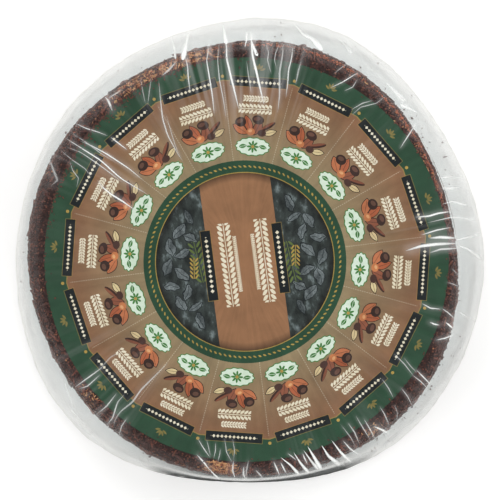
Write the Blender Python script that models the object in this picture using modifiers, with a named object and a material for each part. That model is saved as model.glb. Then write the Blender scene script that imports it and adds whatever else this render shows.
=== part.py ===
"""A whole wheel of cheese coated in ground tree bark, with a round paper label, in a loose clear film pack.

Everything is turned about the wheel's own axis, then moved off round by a few low waves, because neither
the wheel nor the film round it is a true circle. Metres, +Z up. The origin is at the middle of the pack's
footprint, on the surface it stands on.
"""

import math
import random

import bmesh
import bpy
import numpy as np
from mathutils import Matrix, Vector, noise

# Cheese wheel
WHEEL_RADIUS = 0.1550
WHEEL_HEIGHT = 0.0900
RIM_ROUND = 0.0085
FOOT_ROUND = 0.0110
SIDE_BULGE = 0.0020
WHEEL_WAVES = ((2, 0.0016, -67), (3, 0.0018, -50), (4, 0.0016, -25))

# Bark coat: relief of the rind, and the flakes that stand out of it
CRAG_HEIGHT = 0.0013
CRAG_SIZE = 0.011
CRAG_FINE_SIZE = 0.005
CRAG_FINE_SHIFT = (7.3, 1.9, 4.1)
CRAG_BROAD_SHARE = 0.9
CRAG_FINE_SHARE = 0.7
CRAG_TOP_START = 0.1462
CRAG_FADE = 0.0040
CRAG_FACE_LEVEL = 0.9
FLAKE_COUNT = 96
FLAKE_LENGTH = (0.0050, 0.0115)
FLAKE_WIDTH = (0.0022, 0.0042)
FLAKE_THICKNESS = (0.0016, 0.0022)
FLAKE_DRAWN_IN = (0.35, 0.80)
FLAKE_THIN_END = 0.8
FLAKE_JITTER = 0.0003
FLAKE_TURN = 35
FLAKE_SINK = 0.0002
FLAKE_SPACING = 0.0150
FLAKE_LOWEST = 0.0120
FLAKE_RIM_LEAN = 50
FLAKE_SEED = 5

# Paper label on the flat top
LABEL_RADIUS = 0.1445
LABEL_THICKNESS = 0.0004
LABEL_SHIFT = (0.0012, 0.0004)
LABEL_EDGE_WAVE = (2, 0.0003, 20)

# Film pack round the wheel: the space that its loose side takes up
FILM_RADIUS = 0.1696
FILM_SHIFT = (0.0026, 0.0030)
FILM_WAVES = ((2, 0.0011, 38), (3, 0.0032, -30), (4, 0.0017, -37), (5, 0.0013, 7), (6, 0.0007, 3))
FILM_CLEARANCE = 0.0026
FILM_LEAST_ROOM = 0.0044
FILM_TOP_HEIGHT = 0.0830
FILM_TOP_WIDTH = 0.0012
FILM_WIDEST_HEIGHT = 0.0150
FILM_SIDE_ROWS = 4
FILM_SWELL = 1.35
FILM_TURN_SHARE = 0.93
FILM_TURN_HEIGHT = 0.0045
FILM_FOOT_SHARE = 0.45
FILM_INNER_ROWS = 4
PLEAT_COUNT = 36
PLEAT_DEPTH = 0.0016
PLEAT_SHARE = 0.22

# Fineness, and the gap between pieces that touch
TURN_STEPS = 144
SIDE_ROWS = 12
ROUND_ROWS = 3
SHARP_ANGLE = 40
PIECE_GAP = 0.0003
MERGE = 0.00001


# Outlines seen from above

def waves(angle, orders):
    """Sum of low waves round the axis: each has its order, its height and the direction of one crest."""
    return sum(height * np.cos(order * (angle - math.radians(crest))) for order, height, crest in orders)


def wheel_outline(angle):
    """Distance from the wheel's axis to its side, without the bark's relief."""
    return WHEEL_RADIUS + waves(angle, WHEEL_WAVES)


def film_outline(angle):
    """Distance from the wheel's axis to the film's widest line, whose own middle is shifted off the axis.

    Where the film is drawn tight to the wheel it still leaves room for the bark.
    """
    shifted = FILM_RADIUS + FILM_SHIFT[0] * np.cos(angle) + FILM_SHIFT[1] * np.sin(angle)
    return np.maximum(shifted + waves(angle, FILM_WAVES), wheel_outline(angle) + FILM_LEAST_ROOM)


def pleats(angle, width):
    """Folds of the gathered film, from 0 on a crest to minus their depth in a valley, less where it is narrow."""
    drift = 0.9 * np.sin(3 * angle) + 0.6 * np.sin(5 * angle + 1.0)
    depth = np.minimum(PLEAT_DEPTH, PLEAT_SHARE * width)
    return depth * 0.5 * (np.cos(PLEAT_COUNT * angle + drift) - 1.0)


def footprint_middle():
    """Middle of the film's outline in X and Y, from the wheel's axis."""
    angle = np.arange(TURN_STEPS) * 2 * math.pi / TURN_STEPS
    radius = film_outline(angle)
    x = radius * np.cos(angle)
    y = radius * np.sin(angle)
    return (x.min() + x.max()) / 2, (y.min() + y.max()) / 2


# Scene, materials and objects

def clear_scene():
    """Remove what the scene holds, and its meshes and materials."""
    for item in list(bpy.data.objects):
        bpy.data.objects.remove(item, do_unlink=True)
    for mesh in list(bpy.data.meshes):
        bpy.data.meshes.remove(mesh)


def new_collection(name):
    """A collection in the scene."""
    collection = bpy.data.collections.new(name)
    bpy.context.scene.collection.children.link(collection)
    return collection


def new_material(name, colour, roughness, alpha=1.0):
    """A Principled material: linear colour, roughness, and alpha for clear film."""
    material = bpy.data.materials.new(name)
    material.use_nodes = True
    material.diffuse_color = (*colour, alpha)
    shader = material.node_tree.nodes["Principled BSDF"]
    shader.inputs["Base Color"].default_value = (*colour, 1.0)
    shader.inputs["Roughness"].default_value = roughness
    shader.inputs["Metallic"].default_value = 0.0
    shader.inputs["Alpha"].default_value = alpha
    return material


def turned(name, profile, closed):
    """Mesh of a profile of (radius, height) points turned about Z by a Screw modifier.

    The profile runs down the outer side, and is closed when it stays off the axis.
    """
    mesh = bpy.data.meshes.new(name + "_profile")
    edges = [(i, i + 1) for i in range(len(profile) - 1)]
    if closed:
        edges.append((len(profile) - 1, 0))
    mesh.from_pydata([(radius, 0.0, height) for radius, height in profile], edges, [])
    guide = bpy.data.objects.new(name + "_guide", mesh)
    bpy.context.scene.collection.objects.link(guide)
    screw = guide.modifiers.new("turn", "SCREW")
    screw.steps = TURN_STEPS
    screw.render_steps = TURN_STEPS
    screw.use_merge_vertices = True
    screw.merge_threshold = MERGE
    depsgraph = bpy.context.evaluated_depsgraph_get()
    result = bpy.data.meshes.new_from_object(guide.evaluated_get(depsgraph))
    result.name = name
    bpy.data.objects.remove(guide)
    bpy.data.meshes.remove(mesh)
    return result


def read_points(mesh):
    """The mesh's points as an array of rows."""
    points = np.empty(len(mesh.vertices) * 3)
    mesh.vertices.foreach_get("co", points)
    return points.reshape(-1, 3)


def write_points(mesh, points):
    """Put an array of rows back into the mesh."""
    mesh.vertices.foreach_set("co", points.ravel())
    mesh.update()


def new_object(name, mesh, collection, material, parent):
    """An object of the pack, under the empty that places it."""
    item = bpy.data.objects.new(name, mesh)
    collection.objects.link(item)
    mesh.materials.clear()
    mesh.materials.append(material)
    item.parent = parent
    return item


def arc(centre_r, centre_z, radius, start, stop, count):
    """Points of a quarter round in the profile's plane, from start to stop degrees."""
    angles = [math.radians(start + (stop - start) * i / count) for i in range(count + 1)]
    return [(centre_r + radius * math.cos(a), centre_z + radius * math.sin(a)) for a in angles]


def smooth_step(value):
    """0 below 0, 1 above 1, and a smooth rise between."""
    value = np.clip(value, 0.0, 1.0)
    return value * value * (3.0 - 2.0 * value)


# Cheese wheel with its bark coat

def side_radius(height):
    """The wheel's nominal radius at a height: the side swells a little between its two rounded edges."""
    span = (height - FOOT_ROUND) / (WHEEL_HEIGHT - RIM_ROUND - FOOT_ROUND)
    return WHEEL_RADIUS - SIDE_BULGE * (2.0 * np.clip(span, 0.0, 1.0) - 1.0) ** 2


def wheel_profile():
    """Half section of the wheel, from the middle of its top down its side to the middle of its underside."""
    rim_z = WHEEL_HEIGHT - RIM_ROUND
    edge = side_radius(rim_z)
    profile = [(0.0, WHEEL_HEIGHT)]
    profile += arc(edge - RIM_ROUND, rim_z, RIM_ROUND, 90, 0, ROUND_ROWS)
    for row in range(1, SIDE_ROWS):
        height = rim_z + (FOOT_ROUND - rim_z) * row / SIDE_ROWS
        profile.append((side_radius(height), height))
    profile += arc(edge - FOOT_ROUND, FOOT_ROUND, FOOT_ROUND, 0, -90, ROUND_ROWS)
    profile.append((0.0, 0.0))
    return profile


def bark_relief(points):
    """Height of the bark's crags at each point, from two sizes of noise, fading out under the label."""
    relief = np.empty(len(points))
    for i, point in enumerate(points):
        place = Vector(point)
        broad = noise.noise(place / CRAG_SIZE)
        fine = noise.noise(place / CRAG_FINE_SIZE + Vector(CRAG_FINE_SHIFT))
        relief[i] = CRAG_HEIGHT * (CRAG_BROAD_SHARE * broad + CRAG_FINE_SHARE * fine)
    radius = np.hypot(points[:, 0], points[:, 1])
    return relief * smooth_step((radius - CRAG_TOP_START) / CRAG_FADE)


def rough_rind(points):
    """Points of the turned wheel moved off round and by the crags: outwards, and down near the flat faces."""
    radius = np.hypot(points[:, 0], points[:, 1])
    angle = np.arctan2(points[:, 1], points[:, 0])
    crag = bark_relief(points)
    off_round = waves(angle, WHEEL_WAVES) * smooth_step(radius / WHEEL_RADIUS)
    new_radius = radius + off_round + crag
    level = 2.0 * points[:, 2] / WHEEL_HEIGHT - 1.0
    inwards = np.where(np.abs(level) > CRAG_FACE_LEVEL, np.sign(level), 0.0)
    height = points[:, 2] - np.abs(crag) * inwards
    return np.stack((new_radius * np.cos(angle), new_radius * np.sin(angle), height), axis=1)


def wheel_mesh():
    """The turned wheel with its rough rind."""
    mesh = turned("cheese_wheel", wheel_profile(), closed=False)
    write_points(mesh, rough_rind(read_points(mesh)))
    return mesh


def flake_mesh(rng, index):
    """A chip of bark: a flat slab with one end drawn in and its faces a little out of true."""
    length = rng.uniform(*FLAKE_LENGTH)
    width = rng.uniform(*FLAKE_WIDTH)
    thickness = rng.uniform(*FLAKE_THICKNESS)
    drawn_in = rng.uniform(*FLAKE_DRAWN_IN)
    shape = bmesh.new()
    bmesh.ops.create_cube(shape, size=1.0)
    for corner in shape.verts:
        far_end = corner.co.x > 0
        corner.co.y *= width * (drawn_in if far_end else 1.0)
        corner.co.z *= thickness * (FLAKE_THIN_END if far_end else 1.0)
        corner.co.x *= length
        corner.co += Vector([rng.uniform(-FLAKE_JITTER, FLAKE_JITTER) for _ in range(3)])
    mesh = bpy.data.meshes.new(f"bark_flake_{index:02d}")
    shape.to_mesh(mesh)
    shape.free()
    return mesh


def flake_places(rng):
    """Angles, and lengths up the side and over the rim, of the flakes, no two nearer than the spacing."""
    highest = WHEEL_HEIGHT - RIM_ROUND + RIM_ROUND * math.radians(FLAKE_RIM_LEAN)
    places = []
    while len(places) < FLAKE_COUNT:
        angle = rng.uniform(-math.pi, math.pi)
        climb = rng.uniform(FLAKE_LOWEST, highest)
        apart = all(
            math.hypot(WHEEL_RADIUS * math.remainder(angle - other, 2 * math.pi), climb - level) > FLAKE_SPACING
            for other, level in places
        )
        if apart:
            places.append((angle, climb))
    return places


def rind_point(climb):
    """Radius, height and lean of the rind at a length up its side: past the side it goes over the round rim."""
    rim_z = WHEEL_HEIGHT - RIM_ROUND
    lean = max(climb - rim_z, 0.0) / RIM_ROUND
    if lean == 0.0:
        return side_radius(climb), climb, lean
    edge = side_radius(rim_z) - RIM_ROUND
    return edge + RIM_ROUND * math.cos(lean), rim_z + RIM_ROUND * math.sin(lean), lean


def add_flakes(collection):
    """Chips lying flat on the wheel's side and rim, sunk in by about half their thickness."""
    rng = random.Random(FLAKE_SEED)
    most_turn = math.radians(FLAKE_TURN)
    for index, (angle, climb) in enumerate(flake_places(rng)):
        item = bpy.data.objects.new(f"bark_flake_{index:02d}", flake_mesh(rng, index))
        collection.objects.link(item)
        radius, height, lean = rind_point(climb)
        turned_point = np.array([[radius * math.cos(angle), radius * math.sin(angle), height]])
        place = Matrix.Translation(rough_rind(turned_point)[0]) @ Matrix.Rotation(angle, 4, "Z")
        lie = Matrix(((0, 0, 1, -FLAKE_SINK), (1, 0, 0, 0), (0, 1, 0, 0), (0, 0, 0, 1)))
        spin = Matrix.Rotation(rng.uniform(-most_turn, most_turn), 4, "Z")
        item.matrix_world = place @ Matrix.Rotation(-lean, 4, "Y") @ lie @ spin


def build_wheel(collection, material, parent):
    """The wheel with its flakes joined to it."""
    wheel = new_object("cheese_wheel", wheel_mesh(), collection, material, None)
    flakes = new_collection("bark_flakes")
    add_flakes(flakes)
    join = wheel.modifiers.new("join_flakes", "BOOLEAN")
    join.operation = "UNION"
    join.operand_type = "COLLECTION"
    join.collection = flakes
    join.solver = "EXACT"
    depsgraph = bpy.context.evaluated_depsgraph_get()
    joined = bpy.data.meshes.new_from_object(wheel.evaluated_get(depsgraph))
    wheel.modifiers.clear()
    bare = wheel.data
    wheel.data = joined
    bpy.data.meshes.remove(bare)
    joined.name = "cheese_wheel"
    joined.materials.clear()
    joined.materials.append(material)
    for item in list(flakes.objects):
        bpy.data.objects.remove(item)
    bpy.data.collections.remove(flakes)
    joined.shade_smooth()
    joined.set_sharp_from_angle(angle=math.radians(SHARP_ANGLE))
    wheel.parent = parent


# Paper label

def build_label(collection, material, parent):
    """A thin round sheet lying just above the wheel's flat top, its edge cut a little unevenly."""
    shape = bmesh.new()
    bmesh.ops.create_cone(
        shape,
        cap_ends=True,
        segments=TURN_STEPS,
        radius1=LABEL_RADIUS,
        radius2=LABEL_RADIUS,
        depth=LABEL_THICKNESS,
    )
    for corner in shape.verts:
        stretch = 1.0 + waves(math.atan2(corner.co.y, corner.co.x), (LABEL_EDGE_WAVE,)) / LABEL_RADIUS
        corner.co.x *= stretch
        corner.co.y *= stretch
    mesh = bpy.data.meshes.new("label_sheet")
    shape.to_mesh(mesh)
    shape.free()
    label = new_object("label_sheet", mesh, collection, material, parent)
    height = WHEEL_HEIGHT + PIECE_GAP + LABEL_THICKNESS / 2
    label.location = (LABEL_SHIFT[0], LABEL_SHIFT[1], height)


# Film pack

def film_section():
    """Ring's section as (share of the width, height): 0 is the inner wall and 1 the widest line.

    The outer side leaves the wheel's rim, falls steeply and swells outwards, and turns under to a flat foot.
    """
    drop = FILM_TOP_HEIGHT - FILM_WIDEST_HEIGHT
    section = [(0.0, FILM_TOP_HEIGHT)]
    for row in range(FILM_SIDE_ROWS + 1):
        fall = row / FILM_SIDE_ROWS
        section.append((1.0 - (1.0 - fall) ** FILM_SWELL, FILM_TOP_HEIGHT - drop * fall))
    section.append((FILM_TURN_SHARE, FILM_TURN_HEIGHT))
    section.append((FILM_FOOT_SHARE, 0.0))
    section += [(0.0, FILM_TOP_HEIGHT * row / FILM_INNER_ROWS) for row in range(FILM_INNER_ROWS)]
    return section


def build_film(collection, material, parent):
    """The ring-shaped space of the loose film, from clear of the bark out to the film's outline.

    The ring is turned at an even width, then each point keeps its share of the true width at its angle.
    """
    inner = WHEEL_RADIUS
    outer = FILM_RADIUS
    profile = []
    for row, (share, height) in enumerate(film_section()):
        edge = FILM_TOP_WIDTH if row == 1 else 0.0
        profile.append((inner + edge + share * (outer - inner - edge), height))
    mesh = turned("film_skirt", profile, closed=True)
    points = read_points(mesh)
    radius = np.hypot(points[:, 0], points[:, 1])
    angle = np.arctan2(points[:, 1], points[:, 0])
    share = (radius - inner) / (outer - inner)
    new_inner = wheel_outline(angle) + side_radius(points[:, 2]) - WHEEL_RADIUS + FILM_CLEARANCE
    width = film_outline(angle) - new_inner
    folds = pleats(angle, width) * 4.0 * share * (1.0 - share)
    new_radius = new_inner + share * width + folds
    points[:, 0] = new_radius * np.cos(angle)
    points[:, 1] = new_radius * np.sin(angle)
    write_points(mesh, points)
    mesh.shade_smooth()
    mesh.set_sharp_from_angle(angle=math.radians(SHARP_ANGLE))
    new_object("film_skirt", mesh, collection, material, parent)


def main():
    """Build the pack and stand it on the origin."""
    clear_scene()
    pack = new_collection("bark_wrapped_cheese")
    middle = footprint_middle()
    place = bpy.data.objects.new("pack_place", None)
    pack.objects.link(place)
    place.location = (-middle[0], -middle[1], 0.0)
    bark = new_material("ground_bark_rind", (0.060, 0.035, 0.024), 0.85)
    paper = new_material("printed_paper", (0.26, 0.19, 0.12), 0.55)
    film = new_material("clear_film", (0.80, 0.81, 0.81), 0.12, alpha=0.35)
    build_wheel(pack, bark, place)
    build_label(pack, paper, place)
    build_film(pack, film, place)


main()
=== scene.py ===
"""Looks of a whole cheese coated in ground bark, with a round printed paper label, in a loose clear film.

Every surface is worked out round the wheel's own axis: a section that runs from the middle of the top, over
the rim and down the side to the middle of the underside, is carried round by the angle. Lengths are metres.
"""

import math

import bpy
import numpy as np
from bpy.props import FloatProperty, FloatVectorProperty, IntProperty, PointerProperty
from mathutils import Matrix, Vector


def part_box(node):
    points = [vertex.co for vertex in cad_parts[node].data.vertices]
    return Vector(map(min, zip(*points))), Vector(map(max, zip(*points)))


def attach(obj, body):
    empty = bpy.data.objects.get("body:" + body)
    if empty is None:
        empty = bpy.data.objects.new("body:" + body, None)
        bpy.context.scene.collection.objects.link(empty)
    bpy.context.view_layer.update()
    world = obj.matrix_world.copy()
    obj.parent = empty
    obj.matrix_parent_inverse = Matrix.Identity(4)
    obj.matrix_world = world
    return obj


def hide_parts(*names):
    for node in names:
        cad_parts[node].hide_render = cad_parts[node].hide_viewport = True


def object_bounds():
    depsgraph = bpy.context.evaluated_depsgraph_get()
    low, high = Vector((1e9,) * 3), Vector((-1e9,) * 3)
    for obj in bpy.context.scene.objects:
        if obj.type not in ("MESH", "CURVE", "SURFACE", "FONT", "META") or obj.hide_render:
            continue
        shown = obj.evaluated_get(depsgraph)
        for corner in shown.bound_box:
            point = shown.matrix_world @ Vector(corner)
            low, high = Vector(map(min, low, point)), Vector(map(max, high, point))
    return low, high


bl_info = {
    "name": "Bark-coated cheese in film",
    "version": (1, 0, 0),
    "blender": (4, 5, 0),
    "location": "View3D > Sidebar > Cheese",
    "description": "Builds the rind, bark, label and film of a packed cheese wheel round its solids",
    "category": "Add Mesh",
}

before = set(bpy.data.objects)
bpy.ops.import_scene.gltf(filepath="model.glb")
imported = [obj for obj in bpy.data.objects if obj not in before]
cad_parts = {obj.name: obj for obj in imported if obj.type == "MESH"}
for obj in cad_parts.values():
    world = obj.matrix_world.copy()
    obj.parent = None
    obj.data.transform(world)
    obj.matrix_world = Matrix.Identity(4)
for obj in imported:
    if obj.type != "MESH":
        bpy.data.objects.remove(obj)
CAD_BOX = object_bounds()

MM = 0.001

# Where the solids are: the label is a true round about its own middle, and the wheel's axis is beside it
LABEL_LOW, LABEL_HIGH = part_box("label_sheet")
LABEL_MIDDLE = ((LABEL_LOW[0] + LABEL_HIGH[0]) / 2, (LABEL_LOW[1] + LABEL_HIGH[1]) / 2)
LABEL_SHIFT = (1.2 * MM, 0.4 * MM)
AXIS = (LABEL_MIDDLE[0] - LABEL_SHIFT[0], LABEL_MIDDLE[1] - LABEL_SHIFT[1])
LABEL_RADIUS = (LABEL_HIGH[0] - LABEL_LOW[0]) / 2
WHEEL_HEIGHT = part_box("cheese_wheel")[1][2]

# The wheel and the film as the solids have them
WHEEL_RADIUS = 155.0 * MM
RIM_ROUND = 8.5 * MM
FOOT_ROUND = 11.0 * MM
SIDE_BULGE = 2.0 * MM
WHEEL_WAVES = ((2, 1.6, -67), (3, 1.8, -50), (4, 1.6, -25))
FILM_RADIUS = 169.6 * MM
FILM_SHIFT = (2.6 * MM, 3.0 * MM)
FILM_WAVES = ((2, 1.1, 38), (3, 3.2, -30), (4, 1.7, -37), (5, 1.3, 7), (6, 0.7, 3))
FILM_CLEARANCE = 2.6 * MM
FILM_LEAST_ROOM = 4.4 * MM
FILM_TOP_HEIGHT = 83.0 * MM
FILM_TOP_WIDTH = 1.2 * MM
FILM_WIDEST_HEIGHT = 15.0 * MM
FILM_SWELL = 1.35
FILM_FOOT_SHARE = 0.45

# The print: its wedges are counted from one that points up
WEDGES = 16
WEDGE_TURN = math.radians(86.1)
OUTER_PRINT_SHIFT = (-0.3, -0.1)
INNER_PRINT_SHIFT = (-1.2, -1.6)
RING_MIDDLE = 68.3
RING_HALF_WIDTH = 4.3

# The photograph's scale, for the camera and for the places of the folds
PHOTO_PIXELS = 500
PHOTO_MIDDLE = (249.45, 249.81)
PIXELS_PER_MM = 1.397


def linear(code):
    """Linear colour of an sRGB hex code."""
    parts = [int(code[i:i + 2], 16) / 255 for i in (1, 3, 5)]
    return tuple(part / 12.92 if part <= 0.04045 else ((part + 0.055) / 1.055) ** 2.4 for part in parts)


def colour_prop(name, code, description):
    """A colour that a user may change."""
    return FloatVectorProperty(
        name=name, description=description, subtype="COLOR", size=3, min=0.0, max=1.0, default=linear(code)
    )


# Sizes and colours that a user may change

class BarkLook(bpy.types.PropertyGroup):
    """Rind, crumbs and shreds."""

    grain: FloatProperty(name="Grain", description="Relief of the rind", default=0.9 * MM, unit="LENGTH")
    dark_count: IntProperty(name="Dark crumbs", description="Dark crumbs on the rind", default=12000)
    brown_count: IntProperty(name="Brown crumbs", description="Brown crumbs on the rind", default=8000)
    shred_count: IntProperty(name="Shreds", description="Fibrous shreds on the rind", default=3200)
    flake_count: IntProperty(name="Flakes", description="Large flakes on the rind", default=260)
    dust_count: IntProperty(name="Dust", description="Crumbs that lie over the label's edge", default=900)
    tan_count: IntProperty(name="Tan crumbs", description="Light inner bark on the rind", default=2200)
    loose_count: IntProperty(name="Loose crumbs", description="Crumbs loose in the film", default=170)
    dark: colour_prop("Dark bark", "#3b2420", "Outer bark")
    brown: colour_prop("Brown bark", "#643a2e", "Middle bark")
    tan: colour_prop("Tan bark", "#8c4e36", "Inner bark")
    straw: colour_prop("Straw", "#d2a273", "Pale fibres")


class LabelLook(bpy.types.PropertyGroup):
    """Printed paper label."""

    wave: FloatProperty(name="Wave", description="How far the paper lifts", default=0.16 * MM, unit="LENGTH")
    green: colour_prop("Green", "#294633", "Outer and inner rings")
    plate: colour_prop("Plate", "#171c1e", "Small dark plates")
    wedge_outer: colour_prop("Wedge outside", "#815d44", "Wedges at their outer end")
    wedge_inner: colour_prop("Wedge inside", "#8f7d60", "Wedges at their inner end")
    cream: colour_prop("Cream", "#ddd2ba", "Light ornament")
    gold: colour_prop("Gold", "#a98c48", "Fine lines and dots")
    slate: colour_prop("Slate", "#3a403e", "Dark fields of the middle")
    strip: colour_prop("Strip", "#896246", "Brown strip across the middle")


class FilmLook(bpy.types.PropertyGroup):
    """Clear film."""

    tint: colour_prop("Tint", "#f6f8f8", "Light that comes through one layer")
    # Milk-white of folded film, which also paints the highlights and sheen of the folds
    haze_and_highlight: colour_prop("Haze", "#fffefc", "Milky share of folded film")
    edge: colour_prop("Edge", "#d9dad8", "Light that comes through film seen almost edge on")
    gloss: colour_prop("Gloss", "#fafaf8", "Light that its surface mirrors")
    # Darker film of the side: folded in many layers, and painted shade in front and on the right and left
    bunched_and_shaded: colour_prop("Bunched", "#6a6d6c", "Light that comes through film bunched in many layers")
    crumple: FloatProperty(name="Crumple", description="Depth of the side's folds", default=MM, unit="LENGTH")


class StageLook(bpy.types.PropertyGroup):
    """Floor, lights and camera."""

    floor: colour_prop("Floor", "#fdfdfc", "Pale floor")
    glow: FloatProperty(name="Glow", description="Light that comes up through the table", default=0.12)
    distance: FloatProperty(name="Camera", description="Height above the floor", default=10.0, unit="LENGTH")
    walls: FloatProperty(name="Walls", description="Brightness of the room's pale sides", default=0.80)
    opening: FloatProperty(name="Opening", description="Brightness of the room straight above", default=0.10)


# Shapes shared by the pieces

def waves(angle, orders):
    """Sum of low waves round the axis: order, height in millimetres and direction of one crest in degrees."""
    return sum(height * MM * np.cos(order * (angle - math.radians(crest))) for order, height, crest in orders)


def turned_from(angle, degrees, spread):
    """1 in one direction and falling off to both sides of it, as a bell of its spread in degrees."""
    off = (angle - math.radians(degrees) + math.pi) % (2 * math.pi) - math.pi
    return np.exp(-((off / math.radians(spread)) ** 2))


def smooth_step(value):
    """0 below 0, 1 above 1, and a smooth rise between."""
    value = np.clip(value, 0.0, 1.0)
    return value * value * (3.0 - 2.0 * value)


def side_radius(height):
    """The wheel's radius at a height: a parabola that swells between its two rounded edges."""
    span = (height - FOOT_ROUND) / (WHEEL_HEIGHT - RIM_ROUND - FOOT_ROUND)
    return WHEEL_RADIUS - SIDE_BULGE * (2.0 * np.clip(span, 0.0, 1.0) - 1.0) ** 2


def wheel_outline(angle):
    """Distance from the axis to the side: a circle and its low waves."""
    return WHEEL_RADIUS + waves(angle, WHEEL_WAVES)


def film_outline(angle):
    """Distance from the axis to the film's widest line: a circle shifted off the axis, with its low waves."""
    shifted = FILM_RADIUS + FILM_SHIFT[0] * np.cos(angle) + FILM_SHIFT[1] * np.sin(angle)
    return np.maximum(shifted + waves(angle, FILM_WAVES), wheel_outline(angle) + FILM_LEAST_ROOM)


def lattice_noise(points, size, seed):
    """Smooth noise from 0 to 1: random values at the corners of a lattice, blended by smooth steps."""
    place = points / size
    cell = np.floor(place).astype(np.int64)
    part = place - cell
    part = part * part * (3.0 - 2.0 * part)
    total = np.zeros(points.shape[:-1])
    for corner in np.ndindex(2, 2, 2):
        at = cell + corner
        mixed = at[..., 0] * 73856093 ^ at[..., 1] * 19349663 ^ at[..., 2] * 83492791 ^ seed * 2654435761
        mixed = (mixed ^ (mixed >> 13)) * 1274126177 & 0x7FFFFFFF
        mixed = (mixed ^ (mixed >> 16)) & 0xFFFF
        weight = np.prod(np.where(corner, part, 1.0 - part), axis=-1)
        total += weight * mixed / 65535.0
    return total


def ridged_noise(points, size, seed):
    """Noise folded at its middle, so that it has sharp crests at 1 and broad hollows towards 0."""
    return 1.0 - np.abs(2.0 * lattice_noise(points, size, seed) - 1.0)


def grid_normals(points):
    """Unit normals of a grid that closes round its second axis, outwards on a section that runs down."""
    along = np.gradient(points, axis=0)
    around = np.roll(points, -1, axis=1) - np.roll(points, 1, axis=1)
    normal = np.cross(along, around)
    return normal / np.maximum(np.linalg.norm(normal, axis=-1, keepdims=True), 1e-12)


def new_piece(name, points, faces, material, node=None):
    """A mesh piece at the origin, riding on the root, with its material; the solid it replaces is hidden."""
    mesh = bpy.data.meshes.new(name)
    mesh.from_pydata(points.tolist(), [], faces.tolist() if isinstance(faces, np.ndarray) else faces)
    mesh.update()
    mesh.materials.append(material)
    piece = bpy.data.objects.new(name, mesh)
    bpy.context.scene.collection.objects.link(piece)
    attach(piece, "root")
    if node:
        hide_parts(node)
    return piece


def ring_faces(rows, columns, first=0):
    """Quads between rows of points that close round, wound to face outwards on a section that runs down."""
    row, column = np.meshgrid(np.arange(rows - 1), np.arange(columns), indexing="ij")
    here = first + row * columns + column
    right = first + row * columns + (column + 1) % columns
    return np.stack((here, here + columns, right + columns, right), axis=-1).reshape(-1, 4)


def pole_faces(pole, ring, upper):
    """Triangles from a pole to a ring of point numbers."""
    after = np.roll(ring, -1)
    middle = np.full_like(ring, pole)
    order = (middle, ring, after) if upper else (middle, after, ring)
    return np.stack(order, axis=-1)


def closed_form(rows, top=None, bottom=None):
    """Points and faces of rings of points, with a pole above and below where one is given."""
    count, columns, _ = rows.shape
    points = [rows.reshape(-1, 3)]
    faces = ring_faces(count, columns).tolist()
    for pole, row, upper in ((top, 0, True), (bottom, count - 1, False)):
        if pole is not None:
            number = sum(len(part) for part in points)
            points.append(np.array([pole]))
            faces += pole_faces(number, row * columns + np.arange(columns), upper).tolist()
    return np.concatenate(points), faces


def set_attribute(piece, name, values):
    """A number for each point of the mesh."""
    attribute = piece.data.attributes.new(name, "FLOAT", "POINT")
    attribute.data.foreach_set("value", values.astype(np.float32))


# Shader helper

def add_node(tree, kind, inputs=None, **settings):
    """Add a node: settings are its properties, and inputs its sockets, with values or sockets to link."""
    node = tree.nodes.new(kind)
    for name, value in settings.items():
        setattr(node, name, value)
    for key, value in (inputs or {}).items():
        if isinstance(value, bpy.types.NodeSocket):
            tree.links.new(value, node.inputs[key])
        else:
            node.inputs[key].default_value = value
    return node


def new_material(name):
    """An empty node material and its output."""
    material = bpy.data.materials.new(name)
    material.use_nodes = True
    tree = material.node_tree
    tree.nodes.clear()
    return material, tree, add_node(tree, "ShaderNodeOutputMaterial")


def opaque(colour):
    """Four numbers of a linear colour."""
    return (*colour, 1.0)


def scaled(colour, factor):
    """A linear colour made darker or lighter."""
    return [part * factor for part in colour]


# Rind

TOP_ROWS = (20, 90, 130, 141)
RIND_STEP = 1.5 * MM
RIND_COLUMNS = 900
UNDER_ROWS = 26
UNDER_LIFT = 0.9 * MM


def rind_section(climb):
    """Radius, height and outward lean of the rind at a length along its section.

    The length starts at the middle of the top: a flat face, a quarter round, the bulged side, a quarter round
    and a flat underside that runs back to the axis.
    """
    rim_z = WHEEL_HEIGHT - RIM_ROUND
    edge = side_radius(rim_z)
    marks = np.cumsum([
        edge - RIM_ROUND,
        RIM_ROUND * math.pi / 2,
        rim_z - FOOT_ROUND,
        FOOT_ROUND * math.pi / 2,
        edge - FOOT_ROUND,
    ])
    rim = np.clip((climb - marks[0]) / RIM_ROUND, 0.0, math.pi / 2)
    height = np.clip(rim_z - (climb - marks[1]), FOOT_ROUND, rim_z)
    foot = np.clip((climb - marks[2]) / FOOT_ROUND, 0.0, math.pi / 2)
    on_top = climb < marks[1]
    on_side = climb < marks[2]
    rim_r = edge - RIM_ROUND + RIM_ROUND * np.sin(rim) + np.minimum(climb - marks[0], 0.0)
    foot_r = edge - FOOT_ROUND + FOOT_ROUND * np.cos(foot) - np.maximum(climb - marks[3], 0.0)
    radius = np.where(on_top, rim_r, np.where(on_side, side_radius(height), foot_r))
    rim_h = rim_z + RIM_ROUND * np.cos(rim)
    foot_h = UNDER_LIFT + (FOOT_ROUND - UNDER_LIFT) * (1.0 - np.sin(foot))
    level = np.where(on_top, rim_h, np.where(on_side, height, foot_h))
    lean = np.where(on_top, math.pi / 2 - rim, np.where(on_side, 0.0, -foot))
    return radius, level, lean, marks


def rind_place(angle, climb):
    """Points of the smooth rind and its outward directions, for arrays of angles and section lengths."""
    angle, climb = np.broadcast_arrays(angle, climb)
    radius, level, lean, _ = rind_section(climb)
    radius = radius + waves(angle, WHEEL_WAVES) * smooth_step(radius / WHEEL_RADIUS)
    points = np.stack((AXIS[0] + radius * np.cos(angle), AXIS[1] + radius * np.sin(angle), level), axis=-1)
    out = np.stack((np.cos(lean) * np.cos(angle), np.cos(lean) * np.sin(angle), np.sin(lean)), axis=-1)
    return points, out


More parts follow.
